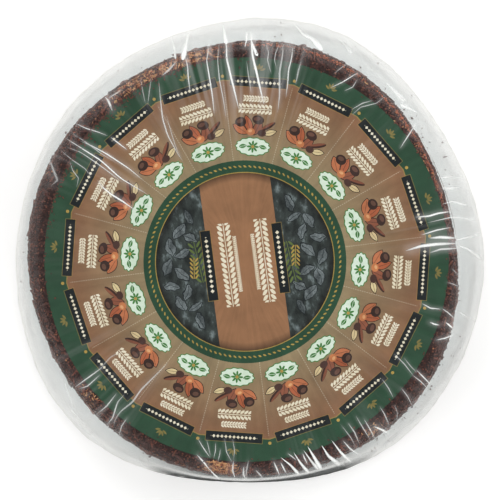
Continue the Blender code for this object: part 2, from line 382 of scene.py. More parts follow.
def rind_relief(points, grain):
    """Height of the rind at each point: broad crags, ridged lumps and fine grain, none under the label."""
    broad = lattice_noise(points, 11 * MM, 3) - 0.5
    lumps = ridged_noise(points, 4.5 * MM, 5) - 0.6
    fine = lattice_noise(points, 2.2 * MM, 9) - 0.5
    off_axis = np.hypot(points[..., 0] - AXIS[0], points[..., 1] - AXIS[1])
    clear = smooth_step((off_axis - LABEL_RADIUS) / (2 * MM))
    bare = np.where(points[..., 2] > WHEEL_HEIGHT - MM, clear, 1.0)
    return grain * bare * (0.9 * broad + 0.55 * lumps + 0.7 * fine)


def rind_material(look):
    """Ground bark pressed into a cheese rind: matt, dark brown, grainy at 1 to 3 mm, mottled and rusty."""
    material, tree, output = new_material("ground_bark_rind")
    place = add_node(tree, "ShaderNodeTexCoord").outputs["Object"]
    grain = add_node(
        tree,
        "ShaderNodeTexNoise",
        {"Vector": place, "Scale": 1 / (2.4 * MM), "Detail": 6.0, "Roughness": 0.65},
    )
    patch = add_node(tree, "ShaderNodeTexNoise", {"Vector": place, "Scale": 1 / (22 * MM), "Detail": 3.0})
    ramp = add_node(tree, "ShaderNodeValToRGB", {"Fac": grain.outputs["Fac"]})
    stops = ramp.color_ramp.elements
    stops[0].position = 0.33
    stops[0].color = opaque(scaled(look.dark, 0.45))
    stops[1].position = 0.72
    stops[1].color = opaque(look.brown)
    middle = stops.new(0.52)
    middle.color = opaque(look.dark)
    rusty = add_node(
        tree,
        "ShaderNodeMix",
        {"Factor": patch.outputs["Fac"], 6: ramp.outputs["Color"], 7: opaque(look.brown)},
        data_type="RGBA",
        blend_type="OVERLAY",
    )
    bump = add_node(
        tree, "ShaderNodeBump", {"Height": grain.outputs["Fac"], "Strength": 0.8, "Distance": 0.8 * MM}
    )
    shader = add_node(
        tree,
        "ShaderNodeBsdfPrincipled",
        {"Base Color": rusty.outputs[2], "Roughness": 0.82, "Normal": bump.outputs["Normal"]},
    )
    tree.links.new(shader.outputs[0], output.inputs["Surface"])
    return material


class CHEESE_OT_rind(bpy.types.Operator):
    """Make the wheel with its rough rind"""

    bl_idname = "cheese.rind"
    bl_label = "Rind"

    def execute(self, context):
        look = context.scene.cheese_bark
        marks = rind_section(np.zeros(1))[3]
        fine = np.arange(marks[0] - 2 * MM, marks[3] + 2 * MM, RIND_STEP)
        under = np.linspace(marks[3] + 5 * MM, marks[4] - 6 * MM, UNDER_ROWS)
        climb = np.concatenate((np.array(TOP_ROWS) * MM, fine, under))
        angle = np.arange(RIND_COLUMNS) * 2 * math.pi / RIND_COLUMNS
        points, out = rind_place(angle[None, :], climb[:, None])
        points = points + out * rind_relief(points, look.grain)[..., None]
        points[..., 2] = np.maximum(points[..., 2], 0.4 * MM)
        top = (AXIS[0], AXIS[1], WHEEL_HEIGHT)
        bottom = (AXIS[0], AXIS[1], UNDER_LIFT)
        verts, faces = closed_form(points, top, bottom)
        piece = new_piece("rind", verts, faces, rind_material(look), "cheese_wheel")
        piece.data.shade_smooth()
        return {"FINISHED"}


# Crumbs and shreds of bark

OCTAHEDRON = np.array([(1, 0, 0), (-1, 0, 0), (0, 1, 0), (0, -1, 0), (0, 0, 1), (0, 0, -1)], float)
OCTAHEDRON_FACES = np.array([
    (0, 2, 4), (2, 1, 4), (1, 3, 4), (3, 0, 4), (2, 0, 5), (1, 2, 5), (3, 1, 5), (0, 3, 5),
])
SLAB = np.array([(x, y, z) for x in (-1, 1) for y in (-1, 1) for z in (-1, 1)], float)
SLAB_FACES = np.array([
    (0, 1, 3), (0, 3, 2), (4, 6, 7), (4, 7, 5), (0, 4, 5), (0, 5, 1),
    (2, 3, 7), (2, 7, 6), (0, 2, 6), (0, 6, 4), (1, 5, 7), (1, 7, 3),
])


def frames_on(out, rng, spread):
    """Unit triads whose third direction leans from out by up to spread radians, turned at random about it."""
    count = len(out)
    lean = rng.normal(0.0, spread, (count, 3))
    third = out + lean
    third /= np.linalg.norm(third, axis=1, keepdims=True)
    first = np.cross(third, rng.normal(size=(count, 3)))
    first /= np.linalg.norm(first, axis=1, keepdims=True)
    return first, np.cross(third, first), third


def scattered(shape, shape_faces, places, triad, sizes, rng, jitter):
    """Points and faces of copies of one small form: each is jittered, sized and turned by its triad."""
    count = len(places)
    form = shape[None] * (1.0 + rng.uniform(-jitter, jitter, (count, len(shape), 3)))
    form = form * sizes[:, None, :]
    turned = sum(form[..., i, None] * triad[i][:, None, :] for i in range(3))
    points = (places[:, None, :] + turned).reshape(-1, 3)
    faces = (shape_faces[None] + (np.arange(count) * len(shape))[:, None, None]).reshape(-1, 3)
    return points, faces


def bark_material(name, colour, light, roughness):
    """Broken bark: matt, each crumb a little lighter or darker, with a fine grain along it."""
    material, tree, output = new_material(name)
    place = add_node(tree, "ShaderNodeTexCoord").outputs["Object"]
    shade = add_node(tree, "ShaderNodeAttribute", attribute_name="shade")
    grain = add_node(tree, "ShaderNodeTexNoise", {"Vector": place, "Scale": 1 / (0.9 * MM), "Detail": 3.0})
    blend = add_node(
        tree,
        "ShaderNodeMix",
        {"Factor": shade.outputs["Fac"], 6: opaque(colour), 7: opaque(light)},
        data_type="RGBA",
    )
    grained = add_node(
        tree,
        "ShaderNodeMix",
        {"Factor": 0.45, 6: blend.outputs[2], 7: grain.outputs["Color"]},
        data_type="RGBA",
        blend_type="SOFT_LIGHT",
    )
    bump = add_node(
        tree, "ShaderNodeBump", {"Height": grain.outputs["Fac"], "Strength": 0.5, "Distance": 0.3 * MM}
    )
    shader = add_node(
        tree,
        "ShaderNodeBsdfPrincipled",
        {"Base Color": grained.outputs[2], "Roughness": roughness, "Normal": bump.outputs["Normal"]},
    )
    tree.links.new(shader.outputs[0], output.inputs["Surface"])
    return material


def climbs_on_rind(rng, count, top_share, under_share, rim_from):
    """Section lengths over the bare rind: a share on the rim, a share under, and the rest down the side."""
    marks = rind_section(np.zeros(1))[3]
    pick = rng.random(count)
    rim = rng.uniform(marks[0] + rim_from * (marks[1] - marks[0]), marks[1], count)
    side = rng.uniform(marks[1], marks[3], count)
    under = marks[4] - (marks[4] - marks[3]) * np.sqrt(rng.random(count))
    return np.where(pick < top_share, rim, np.where(pick < top_share + under_share, under, side))


def scatter_on_rind(
    name, look, count, seed, size_range, form, material, shares, rim_from=0.05, angle_rule=None, darkness=1.8
):
    """One piece of many crumbs or shreds on the rind; shares are those on the rim and under the wheel."""
    rng = np.random.default_rng(seed)
    angle = rng.uniform(-math.pi, math.pi, count)
    if angle_rule:
        angle = angle_rule(rng, count)
    climb = climbs_on_rind(rng, count, *shares, rim_from)
    places, out = rind_place(angle, climb)
    lift = rind_relief(places, look.grain)
    low, high, flat, slim = size_range
    length = rng.uniform(low, high, count) * MM
    sizes = np.stack((length, length * rng.uniform(slim, 1.5 * slim, count), length * flat), axis=1)
    sizes[:, 2] = np.minimum(sizes[:, 2], 0.7 * MM)
    places = places + out * (lift + 0.25 * sizes[:, 2])[:, None]
    places[:, 2] = np.maximum(places[:, 2], 0.5 * MM + sizes[:, 2])
    shape, shape_faces, spread = form
    triad = frames_on(out, rng, spread)
    points, faces = scattered(shape, shape_faces, places, triad, sizes, rng, 0.35)
    points[:, 2] = np.maximum(points[:, 2], 0.3 * MM)
    covered = np.hypot(points[:, 0] - LABEL_MIDDLE[0], points[:, 1] - LABEL_MIDDLE[1]) < LABEL_RADIUS
    points[covered, 2] = np.minimum(points[covered, 2], LABEL_LOW[2])
    piece = new_piece(name, points, faces, material, "cheese_wheel")
    set_attribute(piece, "shade", np.repeat(rng.random(count) ** darkness, len(shape)))
    return piece


CRUMB = (OCTAHEDRON, OCTAHEDRON_FACES, 0.45)
SHRED = (SLAB, SLAB_FACES, 0.12)


# Where pale inner bark shows at the rim: direction and spread in degrees, and share
PALE_PATCHES = (
    (117.0, 8.0, 0.32), (103.0, 2.5, 0.11), (30.0, 8.0, 0.10), (-96.8, 1.9, 0.39), (-138.0, 1.5, 0.03),
    (-53.0, 1.5, 0.05),
)


def lit_edge_angles(rng, count):
    """Angles along the upper right of the rim, where lighter crumbs on the outer edge are a painted highlight
    of the lit edge; the stretch ends sooner on its right.
    """
    off = rng.normal(0.0, 1.0, count)
    return np.radians(48.0 + off * np.where(off < 0.0, 19.0, 38.0))


def pale_patches(rng, count):
    """Angles gathered in the few places where pale inner bark shows at the rim."""
    centre, spread, weight = np.array(PALE_PATCHES).T
    pick = rng.choice(len(centre), count, p=weight)
    return np.radians(centre[pick] + rng.normal(0.0, 1.0, count) * spread[pick])


class CHEESE_OT_bark(bpy.types.Operator):
    """Scatter crumbs and shreds of bark over the rind"""

    bl_idname = "cheese.bark"
    bl_label = "Bark crumbs"

    def execute(self, context):
        look = context.scene.cheese_bark
        dark = bark_material("dark_outer_bark", look.dark, scaled(look.dark, 2.2), 0.85)
        brown = bark_material("brown_bark", look.brown, scaled(look.brown, 1.35), 0.8)
        # Lighter bark for crumbs on the upper right rim edge: a painted highlight
        lit_edge_bark = bark_material("lit_edge_bark_highlight", look.tan, scaled(look.tan, 2.3), 0.8)
        tan = bark_material("tan_inner_bark", look.tan, look.straw, 0.75)

        # Least and greatest half length in millimetres, then thickness and least width as shares of it
        crumbs = (0.45, 1.25, 0.55, 0.6)
        shreds = (0.9, 3.2, 0.18, 0.16)
        flakes = (2.6, 5.6, 0.20, 0.30)
        slivers = (0.5, 1.4, 0.25, 0.22)

        # Settings of pieces that start further out on the rim, or gather in places along it
        inset = {"rim_from": 0.12}
        further_out = {"rim_from": 0.20}
        pale = {"rim_from": 0.12, "angle_rule": pale_patches, "darkness": 1.1}
        # Crumbs far out on the upper right of the rim, a painted highlight of the lit edge
        edge = {"rim_from": 0.60, "angle_rule": lit_edge_angles, "darkness": 1.0}
        for name, count, seed, sizes, form, material, shares, others in (
            ("bark_crumbs_dark", look.dark_count, 21, crumbs, CRUMB, dark, (0.26, 0.28), {}),
            ("bark_crumbs_brown", look.brown_count, 22, crumbs, CRUMB, brown, (0.24, 0.28), {}),
            ("bark_shreds_dark", look.shred_count, 23, shreds, SHRED, dark, (0.22, 0.20), inset),
            ("bark_shreds_brown", look.shred_count // 2, 26, shreds, SHRED, brown, (0.16, 0.22), further_out),
            ("bark_crumbs_tan", look.tan_count // 6, 24, crumbs, CRUMB, tan, (0.15, 0.30), {}),
            ("bark_flakes", look.flake_count, 27, flakes, SHRED, brown, (0.0, 0.10), {}),
            ("bark_slivers_pale", look.tan_count, 25, slivers, SHRED, tan, (0.86, 0.0), pale),
            # Painted highlight: lighter crumbs along the lit upper right rim edge
            ("bark_crumbs_lit_edge", look.tan_count // 2, 28, crumbs, CRUMB, lit_edge_bark, (1.0, 0.0), edge),
        ):
            scatter_on_rind(name, look, count, seed, sizes, form, material, shares, **others)
        return {"FINISHED"}


def lay_crumbs(name, places, sizes, lean, jitter, rng, material):
    """One piece of crumbs that lie flat at their places, each leaning by up to lean radians."""
    upwards = np.tile((0.0, 0.0, 1.0), (len(places), 1))
    triad = frames_on(upwards, rng, lean)
    points, faces = scattered(OCTAHEDRON, OCTAHEDRON_FACES, places, triad, sizes, rng, jitter)
    piece = new_piece(name, points, faces, material)
    set_attribute(piece, "shade", np.repeat(rng.random(len(places)), len(OCTAHEDRON)))


def round_axis(middle, radius, angle, height):
    """Places at a distance and an angle about a middle."""
    return np.stack((middle[0] + radius * np.cos(angle), middle[1] + radius * np.sin(angle), height), axis=-1)


class CHEESE_OT_dust(bpy.types.Operator):
    """Lay thin crumbs over the label's edge"""

    bl_idname = "cheese.dust"
    bl_label = "Dust on the label"

    def execute(self, context):
        look = context.scene.cheese_bark
        rng = np.random.default_rng(41)
        count = look.dust_count
        heavy = rng.random(count) < 0.70
        gathered = np.radians(rng.normal(135.0, 22.0, count))
        angle = np.where(heavy, gathered, rng.uniform(-math.pi, math.pi, count))
        radius = LABEL_RADIUS + 0.8 * MM - rng.exponential(np.where(heavy, 1.7, 0.8) * MM, count)
        length = rng.uniform(0.35, 1.1, count) * MM
        sizes = np.stack((length, length * rng.uniform(0.35, 0.8, count), np.full(count, 0.13 * MM)), axis=1)
        places = round_axis(LABEL_MIDDLE, radius, angle, np.full(count, LABEL_HIGH[2] + 0.14 * MM))
        material = bark_material("bark_dust", look.dark, look.brown, 0.85)
        lay_crumbs("bark_dust", places, sizes, 0.04, 0.3, rng, material)
        return {"FINISHED"}


class CHEESE_OT_loose_crumbs(bpy.types.Operator):
    """Lay the bark crumbs that have come off in the film's pocket"""

    bl_idname = "cheese.loose_crumbs"
    bl_label = "Loose crumbs"

    def execute(self, context):
        look = context.scene.cheese_bark
        rng = np.random.default_rng(31)
        count = look.loose_count
        heap = rng.random(count)
        lower_heap = np.radians(rng.normal(-42.0, 16.0, count))
        angle = np.where(heap < 0.4, lower_heap, rng.uniform(-math.pi, math.pi, count))
        angle = np.where(heap > 0.8, np.radians(rng.normal(38.0, 14.0, count)), angle)
        inner = wheel_outline(angle)
        room = film_outline(angle) - inner
        share = 0.05 + 0.80 * rng.random(count) ** 1.6
        radius = inner + room * share
        length = (0.3 + 1.1 * rng.random(count) ** 1.7) * MM
        sizes = np.stack((length, length * rng.uniform(0.3, 0.8, count), length * 0.40), axis=1)
        height = 0.5 * MM + sizes[:, 2] + 2.5 * MM * smooth_step((share - 0.5) / 0.5)
        places = round_axis(AXIS, radius, angle, height)
        material = bark_material("loose_bark_crumbs", look.dark, look.brown, 0.85)
        lay_crumbs("loose_bark_crumbs", places, sizes, 0.3, 0.35, rng, material)
        return {"FINISHED"}


# Paper label

LABEL_ROWS = 48
LABEL_COLUMNS = 360
LABEL_THICK = 0.2 * MM

# Measures of the print in millimetres, and its turns in degrees
WEDGE_END = 127.1
OUTER_PLATE = (0.0, 127.2)
BADGE = (0.0, 82.6)
STRIP_TURN = 7.3
STRIP_HALF_WIDTH = 25.5
STRIP_PLATE = (25.6, -0.4)
LEAF_SLANT = 52.0
STEM_HALF_WIDTH = 0.28


def ellipse_mask(tree, place, centre, half, turn=0.0):
    """1 inside an ellipse of the print, in millimetres."""
    local = add_node(
        tree,
        "ShaderNodeMapping",
        {
            "Vector": place,
            "Location": (*centre, 0.0),
            "Rotation": (0.0, 0.0, math.radians(turn)),
            "Scale": (*half, 1.0),
        },
        vector_type="TEXTURE",
    )
    length = add_node(tree, "ShaderNodeVectorMath", {0: local.outputs[0]}, operation="LENGTH")
    inputs = {0: length.outputs["Value"], 1: 1.0}
    return add_node(tree, "ShaderNodeMath", inputs, operation="LESS_THAN").outputs[0]


def plate_mask(tree, place, centre, half, turn=0.0):
    """1 inside a rectangle of the print, in millimetres."""
    local = add_node(
        tree,
        "ShaderNodeMapping",
        {
            "Vector": place,
            "Location": (*centre, 0.0),
            "Rotation": (0.0, 0.0, math.radians(turn)),
            "Scale": (*half, 1.0),
        },
        vector_type="TEXTURE",
    )
    size = add_node(tree, "ShaderNodeVectorMath", {0: local.outputs[0]}, operation="ABSOLUTE")
    parts = add_node(tree, "ShaderNodeSeparateXYZ", {0: size.outputs[0]})
    most = add_node(tree, "ShaderNodeMath", {0: parts.outputs[0], 1: parts.outputs[1]}, operation="MAXIMUM")
    return add_node(tree, "ShaderNodeMath", {0: most.outputs[0], 1: 1.0}, operation="LESS_THAN").outputs[0]


def inked(tree, under, mask, colour, strength=1.0):
    """The print with a colour laid where the mask is 1."""
    if strength < 1.0:
        mask = add_node(tree, "ShaderNodeMath", {0: mask, 1: strength}, operation="MULTIPLY").outputs[0]
    mix = add_node(tree, "ShaderNodeMix", {"Factor": mask, 6: under, 7: opaque(colour)}, data_type="RGBA")
    return mix.outputs[2]


def both(tree, first, second):
    """1 where both masks are 1."""
    return add_node(tree, "ShaderNodeMath", {0: first, 1: second}, operation="MULTIPLY").outputs[0]


def repeated(tree, value, spacing):
    """A length folded into one period, from minus half the spacing to half of it."""
    shifted = add_node(tree, "ShaderNodeMath", {0: value, 1: spacing / 2}, operation="ADD")
    whole = add_node(tree, "ShaderNodeMath", {0: shifted.outputs[0], 1: spacing}, operation="SNAP").outputs[0]
    return add_node(tree, "ShaderNodeMath", {0: value, 1: whole}, operation="SUBTRACT").outputs[0]


def wedge_place(tree, centre, turn):
    """Print coordinates in millimetres that repeat in each wedge: across it, and out from the centre.

    Gives the vector, the distance out, the angle across and the plain vector about the same centre.
    """
    place = add_node(tree, "ShaderNodeTexCoord").outputs["Object"]
    about = add_node(
        tree,
        "ShaderNodeMapping",
        {
            "Vector": place,
            "Location": (LABEL_MIDDLE[0] + centre[0] * MM, LABEL_MIDDLE[1] + centre[1] * MM, 0.0),
            "Scale": (MM, MM, 1000.0),
        },
        vector_type="TEXTURE",
    )
    parts = add_node(tree, "ShaderNodeSeparateXYZ", {0: about.outputs[0]})
    flat = add_node(tree, "ShaderNodeCombineXYZ", {0: parts.outputs[0], 1: parts.outputs[1]}).outputs[0]
    return (*folded_round(tree, flat, turn, WEDGES), flat)


def folded_round(tree, flat, turn, count):
    """Coordinates that repeat count times round the origin, the distance out and the angle across."""
    parts = add_node(tree, "ShaderNodeSeparateXYZ", {0: flat})
    radius = add_node(tree, "ShaderNodeVectorMath", {0: flat}, operation="LENGTH").outputs["Value"]
    angle = add_node(tree, "ShaderNodeMath", {0: parts.outputs[1], 1: parts.outputs[0]}, operation="ARCTAN2")
    ahead = add_node(tree, "ShaderNodeMath", {0: turn, 1: angle.outputs[0]}, operation="SUBTRACT")
    across = repeated(tree, ahead.outputs[0], 2 * math.pi / count)
    sine = add_node(tree, "ShaderNodeMath", {0: across}, operation="SINE")
    cosine = add_node(tree, "ShaderNodeMath", {0: across}, operation="COSINE")
    sideways = add_node(tree, "ShaderNodeMath", {0: radius, 1: sine.outputs[0]}, operation="MULTIPLY")
    outwards = add_node(tree, "ShaderNodeMath", {0: radius, 1: cosine.outputs[0]}, operation="MULTIPLY")
    vector = add_node(tree, "ShaderNodeCombineXYZ", {0: sideways.outputs[0], 1: outwards.outputs[0]})
    return vector.outputs[0], radius, across


def garland(tree, under, place, centre, half_length, leaf, spacing, colour, turn=0.0):
    """A stem with leaves slanting off both sides of it, repeated along its length."""
    local = add_node(
        tree,
        "ShaderNodeMapping",
        {"Vector": place, "Location": (*centre, 0.0), "Rotation": (0.0, 0.0, math.radians(turn))},
        vector_type="TEXTURE",
    ).outputs[0]
    parts = add_node(tree, "ShaderNodeSeparateXYZ", {0: local})
    step = repeated(tree, parts.outputs[0], spacing)
    side = add_node(tree, "ShaderNodeMath", {0: parts.outputs[1]}, operation="ABSOLUTE")
    folded = add_node(tree, "ShaderNodeCombineXYZ", {0: step, 1: side.outputs[0]}).outputs[0]
    leaves = ellipse_mask(tree, folded, (0.0, 1.05 * leaf[1]), leaf, LEAF_SLANT)
    window = plate_mask(tree, local, (0.0, 0.0), (half_length, 4.0 * leaf[1] + 2.0))
    under = inked(tree, under, both(tree, leaves, window), colour)
    return inked(tree, under, plate_mask(tree, local, (0.0, 0.0), (half_length, STEM_HALF_WIDTH)), colour)


# Shapes of the autumn motif in each wedge: middle and half size in millimetres, turn in degrees, and colour
LEAVES = (
    ((-9.6, 94.6), (2.9, 6.0), 62.0, "#b06a48"),
    ((-4.2, 98.6), (2.6, 6.4), 22.0, "#a2583a"),
    ((2.6, 96.2), (2.8, 5.4), -24.0, "#87503c"),
    ((11.6, 93.2), (1.9, 4.6), -72.0, "#cdb78c"),
)
NUTS = (
    ((9.6, 97.4), (6.4, 1.7), 32.0, "#3c2620"),
    ((9.3, 98.0), (5.9, 0.9), 32.0, "#7a4a38"),
    ((-9.8, 99.8), (4.0, 3.5), 10.0, "#35241f"),
    ((-10.4, 100.4), (2.2, 1.5), 24.0, "#5d4136"),
    ((2.6, 102.0), (4.3, 3.2), -12.0, "#3a2722"),
    ((1.9, 102.7), (2.5, 1.4), 8.0, "#624338"),
    ((-2.2, 93.2), (3.0, 2.6), 0.0, "#b9734a"),
    ((-2.6, 93.8), (1.5, 1.0), 20.0, "#d29a6c"),
    ((5.8, 92.6), (3.1, 2.4), 0.0, "#47302a"),
)


def leaf_mask(tree, place, centre, half, turn):
    """1 inside a leaf with two points: |x| / a below 1 - (y / b) squared, in millimetres."""
    local = add_node(
        tree,
        "ShaderNodeMapping",
        {
            "Vector": place,
            "Location": (*centre, 0.0),
            "Rotation": (0.0, 0.0, math.radians(turn)),
            "Scale": (*half, 1.0),
        },
        vector_type="TEXTURE",
    )
    parts = add_node(tree, "ShaderNodeSeparateXYZ", {0: local.outputs[0]})
    side = add_node(tree, "ShaderNodeMath", {0: parts.outputs[0]}, operation="ABSOLUTE").outputs[0]
    square = add_node(
        tree, "ShaderNodeMath", {0: parts.outputs[1], 1: parts.outputs[1], 2: side}, operation="MULTIPLY_ADD"
    )
    return add_node(tree, "ShaderNodeMath", {0: square.outputs[0], 1: 1.0}, operation="LESS_THAN").outputs[0]


def outer_print(tree, look):
    """Green rim, wedges, dark plates and their fine lines, all about the outer centre."""
    place, radius, across, _ = wedge_place(tree, OUTER_PRINT_SHIFT, WEDGE_TURN)
    ramp = add_node(tree, "ShaderNodeMapRange", {0: radius, 1: 72.0, 2: 124.0})
    wedge = add_node(
        tree,
        "ShaderNodeMix",
        {"Factor": ramp.outputs[0], 6: opaque(look.wedge_inner), 7: opaque(look.wedge_outer)},
        data_type="RGBA",
    ).outputs[2]
    out = add_node(tree, "ShaderNodeSeparateXYZ", {0: place}).outputs[1]
    beyond = add_node(tree, "ShaderNodeMath", {0: out, 1: WEDGE_END}, operation="GREATER_THAN").outputs[0]
    ink = inked(tree, wedge, beyond, look.green)
    line = add_node(tree, "ShaderNodeMath", {0: out, 1: WEDGE_END, 2: 0.35}, operation="COMPARE").outputs[0]
    ink = inked(tree, ink, line, look.gold, 0.5)

    # Fine pale dotted line between the wedges
    half = math.pi / WEDGES
    size = add_node(tree, "ShaderNodeMath", {0: across}, operation="ABSOLUTE").outputs[0]
    off_line = add_node(tree, "ShaderNodeMath", {0: half, 1: size}, operation="SUBTRACT").outputs[0]
    away = add_node(tree, "ShaderNodeMath", {0: off_line, 1: radius}, operation="MULTIPLY").outputs[0]
    near = add_node(tree, "ShaderNodeMath", {0: away, 1: 0.30}, operation="LESS_THAN").outputs[0]
    step = repeated(tree, radius, 1.7)
    dash = add_node(tree, "ShaderNodeMath", {0: step, 1: 0.25}, operation="LESS_THAN").outputs[0]
    inside = add_node(tree, "ShaderNodeMath", {0: radius, 1: 127.0}, operation="LESS_THAN").outputs[0]
    dotted = both(tree, both(tree, near, dash), inside)
    ink = inked(tree, ink, dotted, look.cream, 0.30)

    # Dark plate with a gold line round it and a row of small marks
    ink = inked(tree, ink, plate_mask(tree, place, OUTER_PLATE, (20.7, 3.8)), look.gold, 0.40)
    ink = inked(tree, ink, plate_mask(tree, place, OUTER_PLATE, (20.3, 3.4)), look.plate)
    marks = add_node(tree, "ShaderNodeSeparateXYZ", {0: place})
    mark_step = repeated(tree, marks.outputs[0], 2.9)
    row = add_node(tree, "ShaderNodeCombineXYZ", {0: mark_step, 1: marks.outputs[1]}).outputs[0]
    lozenge = plate_mask(tree, row, OUTER_PLATE, (0.85, 0.85), 45.0)
    window = plate_mask(tree, place, OUTER_PLATE, (16.6, 3.0))
    ink = inked(tree, ink, both(tree, lozenge, window), look.cream)

    # Gold dot at each corner of the wedges' outer edge
    corner, _, _, _ = wedge_place(tree, OUTER_PRINT_SHIFT, WEDGE_TURN + half)
    ink = inked(tree, ink, ellipse_mask(tree, corner, (0.0, 132.4), (1.15, 1.15)), look.gold)

    # Faint gold sprig of five leaves in the green outside each plate
    for side, turn in ((-2.7, 66.0), (-1.5, 34.0), (0.0, 0.0), (1.5, -34.0), (2.7, -66.0)):
        spot = (side, 138.6 - 0.28 * side ** 2)
        ink = inked(tree, ink, leaf_mask(tree, place, spot, (0.75, 2.1), turn), look.gold, 0.45)
    return ink


def scallop_mask(tree, place, centre, half, lobes=14):
    """1 inside an oval with a scalloped edge: distance in half sizes below 1 + 0.04 cos(lobes x angle)."""
    local = add_node(
        tree,
        "ShaderNodeMapping",
        {"Vector": place, "Location": (*centre, 0.0), "Scale": (*half, 1.0)},
        vector_type="TEXTURE",
    ).outputs[0]
    parts = add_node(tree, "ShaderNodeSeparateXYZ", {0: local})
    out = add_node(tree, "ShaderNodeVectorMath", {0: local}, operation="LENGTH").outputs["Value"]
    angle = add_node(tree, "ShaderNodeMath", {0: parts.outputs[1], 1: parts.outputs[0]}, operation="ARCTAN2")
    turns = add_node(tree, "ShaderNodeMath", {0: angle.outputs[0], 1: lobes}, operation="MULTIPLY")
    wave = add_node(tree, "ShaderNodeMath", {0: turns.outputs[0]}, operation="COSINE")
    edge = add_node(tree, "ShaderNodeMath", {0: wave.outputs[0], 1: 0.04, 2: 1.0}, operation="MULTIPLY_ADD")
    return add_node(tree, "ShaderNodeMath", {0: out, 1: edge.outputs[0]}, operation="LESS_THAN").outputs[0]


def spun(tree, place, centre, count):
    """Coordinates that repeat count times round a centre: sideways, and out from it."""
    local = add_node(
        tree, "ShaderNodeMapping", {"Vector": place, "Location": (*centre, 0.0)}, vector_type="TEXTURE"
    ).outputs[0]
    return folded_round(tree, local, math.pi / 2, count)[0]


def wedge_print(tree, look):
    """The print outside the thin ring: on each wedge garlands, an autumn motif and a badge."""
    place, radius, _, flat = wedge_place(tree, INNER_PRINT_SHIFT, WEDGE_TURN)
    ink = outer_print(tree, look)
    ink = garland(tree, ink, place, (0.0, 116.9), 9.0, (0.60, 1.30), 2.0, look.cream)
    ink = garland(tree, ink, place, (0.0, 109.6), 11.8, (0.85, 2.00), 2.8, look.cream)

    # Autumn motif: hazelnuts and a twig on fallen leaves
    dark = linear("#2e211d")
    for centre, half, turn, code in LEAVES:
        ink = inked(tree, ink, leaf_mask(tree, place, centre, (half[0] + 0.5, half[1] + 0.7), turn), dark)
        ink = inked(tree, ink, leaf_mask(tree, place, centre, half, turn), linear(code))
        ink = inked(tree, ink, plate_mask(tree, place, centre, (0.18, 0.8 * half[1]), turn), dark, 0.7)
    for centre, half, turn, code in NUTS:
        ink = inked(tree, ink, ellipse_mask(tree, place, centre, half, turn), linear(code))

    # Pale scalloped badge with a daisy between two leaves
    green = linear("#41743a")
    mint = linear("#cfdbca")
    ink = inked(tree, ink, scallop_mask(tree, place, BADGE, (12.4, 6.7)), green)
    ink = inked(tree, ink, scallop_mask(tree, place, BADGE, (11.7, 6.0)), mint)
    petals = spun(tree, place, BADGE, 8)
    ink = inked(tree, ink, ellipse_mask(tree, petals, (0.0, 2.6), (0.75, 1.75)), green)
    ink = inked(tree, ink, ellipse_mask(tree, place, BADGE, (1.1, 1.1)), look.gold)
    for side in (-1, 1):
        spot = (side * 7.2, BADGE[1])
        ink = inked(tree, ink, leaf_mask(tree, place, spot, (1.5, 2.9), 90.0 - side * 14.0), green)
        ink = inked(tree, ink, plate_mask(tree, place, spot, (2.3, 0.15), -side * 14.0), mint)
    return thin_ring(tree, ink, radius, flat, look), radius, flat


def thin_ring(tree, ink, radius, flat, look):
    """Green ring with gold leaflets and dots that run round it like a rope."""
    inputs = {0: radius, 1: RING_MIDDLE, 2: RING_HALF_WIDTH}
    ring = add_node(tree, "ShaderNodeMath", inputs, operation="COMPARE").outputs[0]
    ink = inked(tree, ink, ring, look.green)
    parts = add_node(tree, "ShaderNodeSeparateXYZ", {0: flat})
    angle = add_node(tree, "ShaderNodeMath", {0: parts.outputs[1], 1: parts.outputs[0]}, operation="ARCTAN2")
    length = add_node(tree, "ShaderNodeMath", {0: angle.outputs[0], 1: RING_MIDDLE}, operation="MULTIPLY")
    for count, half, turn in ((120, (1.3, 0.55), 32.0), (40, (0.7, 0.7), 0.0)):
        step = repeated(tree, length.outputs[0], 2 * math.pi * RING_MIDDLE / count)
        row = add_node(tree, "ShaderNodeCombineXYZ", {0: step, 1: radius}).outputs[0]
        ink = inked(tree, ink, ellipse_mask(tree, row, (0.0, RING_MIDDLE), half, turn), look.gold, 0.85)
    return ink


def disc_print(tree, look):
    """The print inside the thin ring: the middle, shaded towards its edge, and a gold line round it."""
    _, radius, _, flat = wedge_place(tree, INNER_PRINT_SHIFT, WEDGE_TURN)
    shade = add_node(tree, "ShaderNodeMapRange", {0: radius, 1: 58.0, 2: 64.0}).outputs[0]
    ink = inked(tree, middle_print(tree, flat, look), shade, linear("#14110f"), 0.75)
    ink = thin_ring(tree, ink, radius, flat, look)
    edge = RING_MIDDLE - RING_HALF_WIDTH
    line = add_node(tree, "ShaderNodeMath", {0: radius, 1: edge, 2: 0.32}, operation="COMPARE").outputs[0]
    return inked(tree, ink, line, look.gold, 0.8), radius, flat


# Silver leaves strewn on each dark field of the middle: middle and half size in millimetres, turn in degrees
SILVER_LEAVES = (
    ((36.5, -37.0), (2.4, 5.6), 20.0), ((43.5, -27.5), (3.2, 7.0), -48.0), ((37.0, -22.0), (2.2, 5.0), 62.0),
    ((51.5, -17.0), (3.0, 6.4), 12.0), ((43.0, -11.5), (2.6, 6.0), -70.0), ((55.5, -3.0), (2.8, 6.2), -24.0),
    ((46.0, 3.0), (3.2, 6.8), 40.0), ((54.5, 11.0), (2.8, 6.0), 78.0), ((43.5, 16.5), (2.6, 5.6), -18.0),
    ((49.5, 24.0), (3.2, 6.6), 30.0), ((39.0, 27.5), (2.4, 5.6), -62.0), ((37.0, 38.0), (2.4, 5.8), 14.0),
)


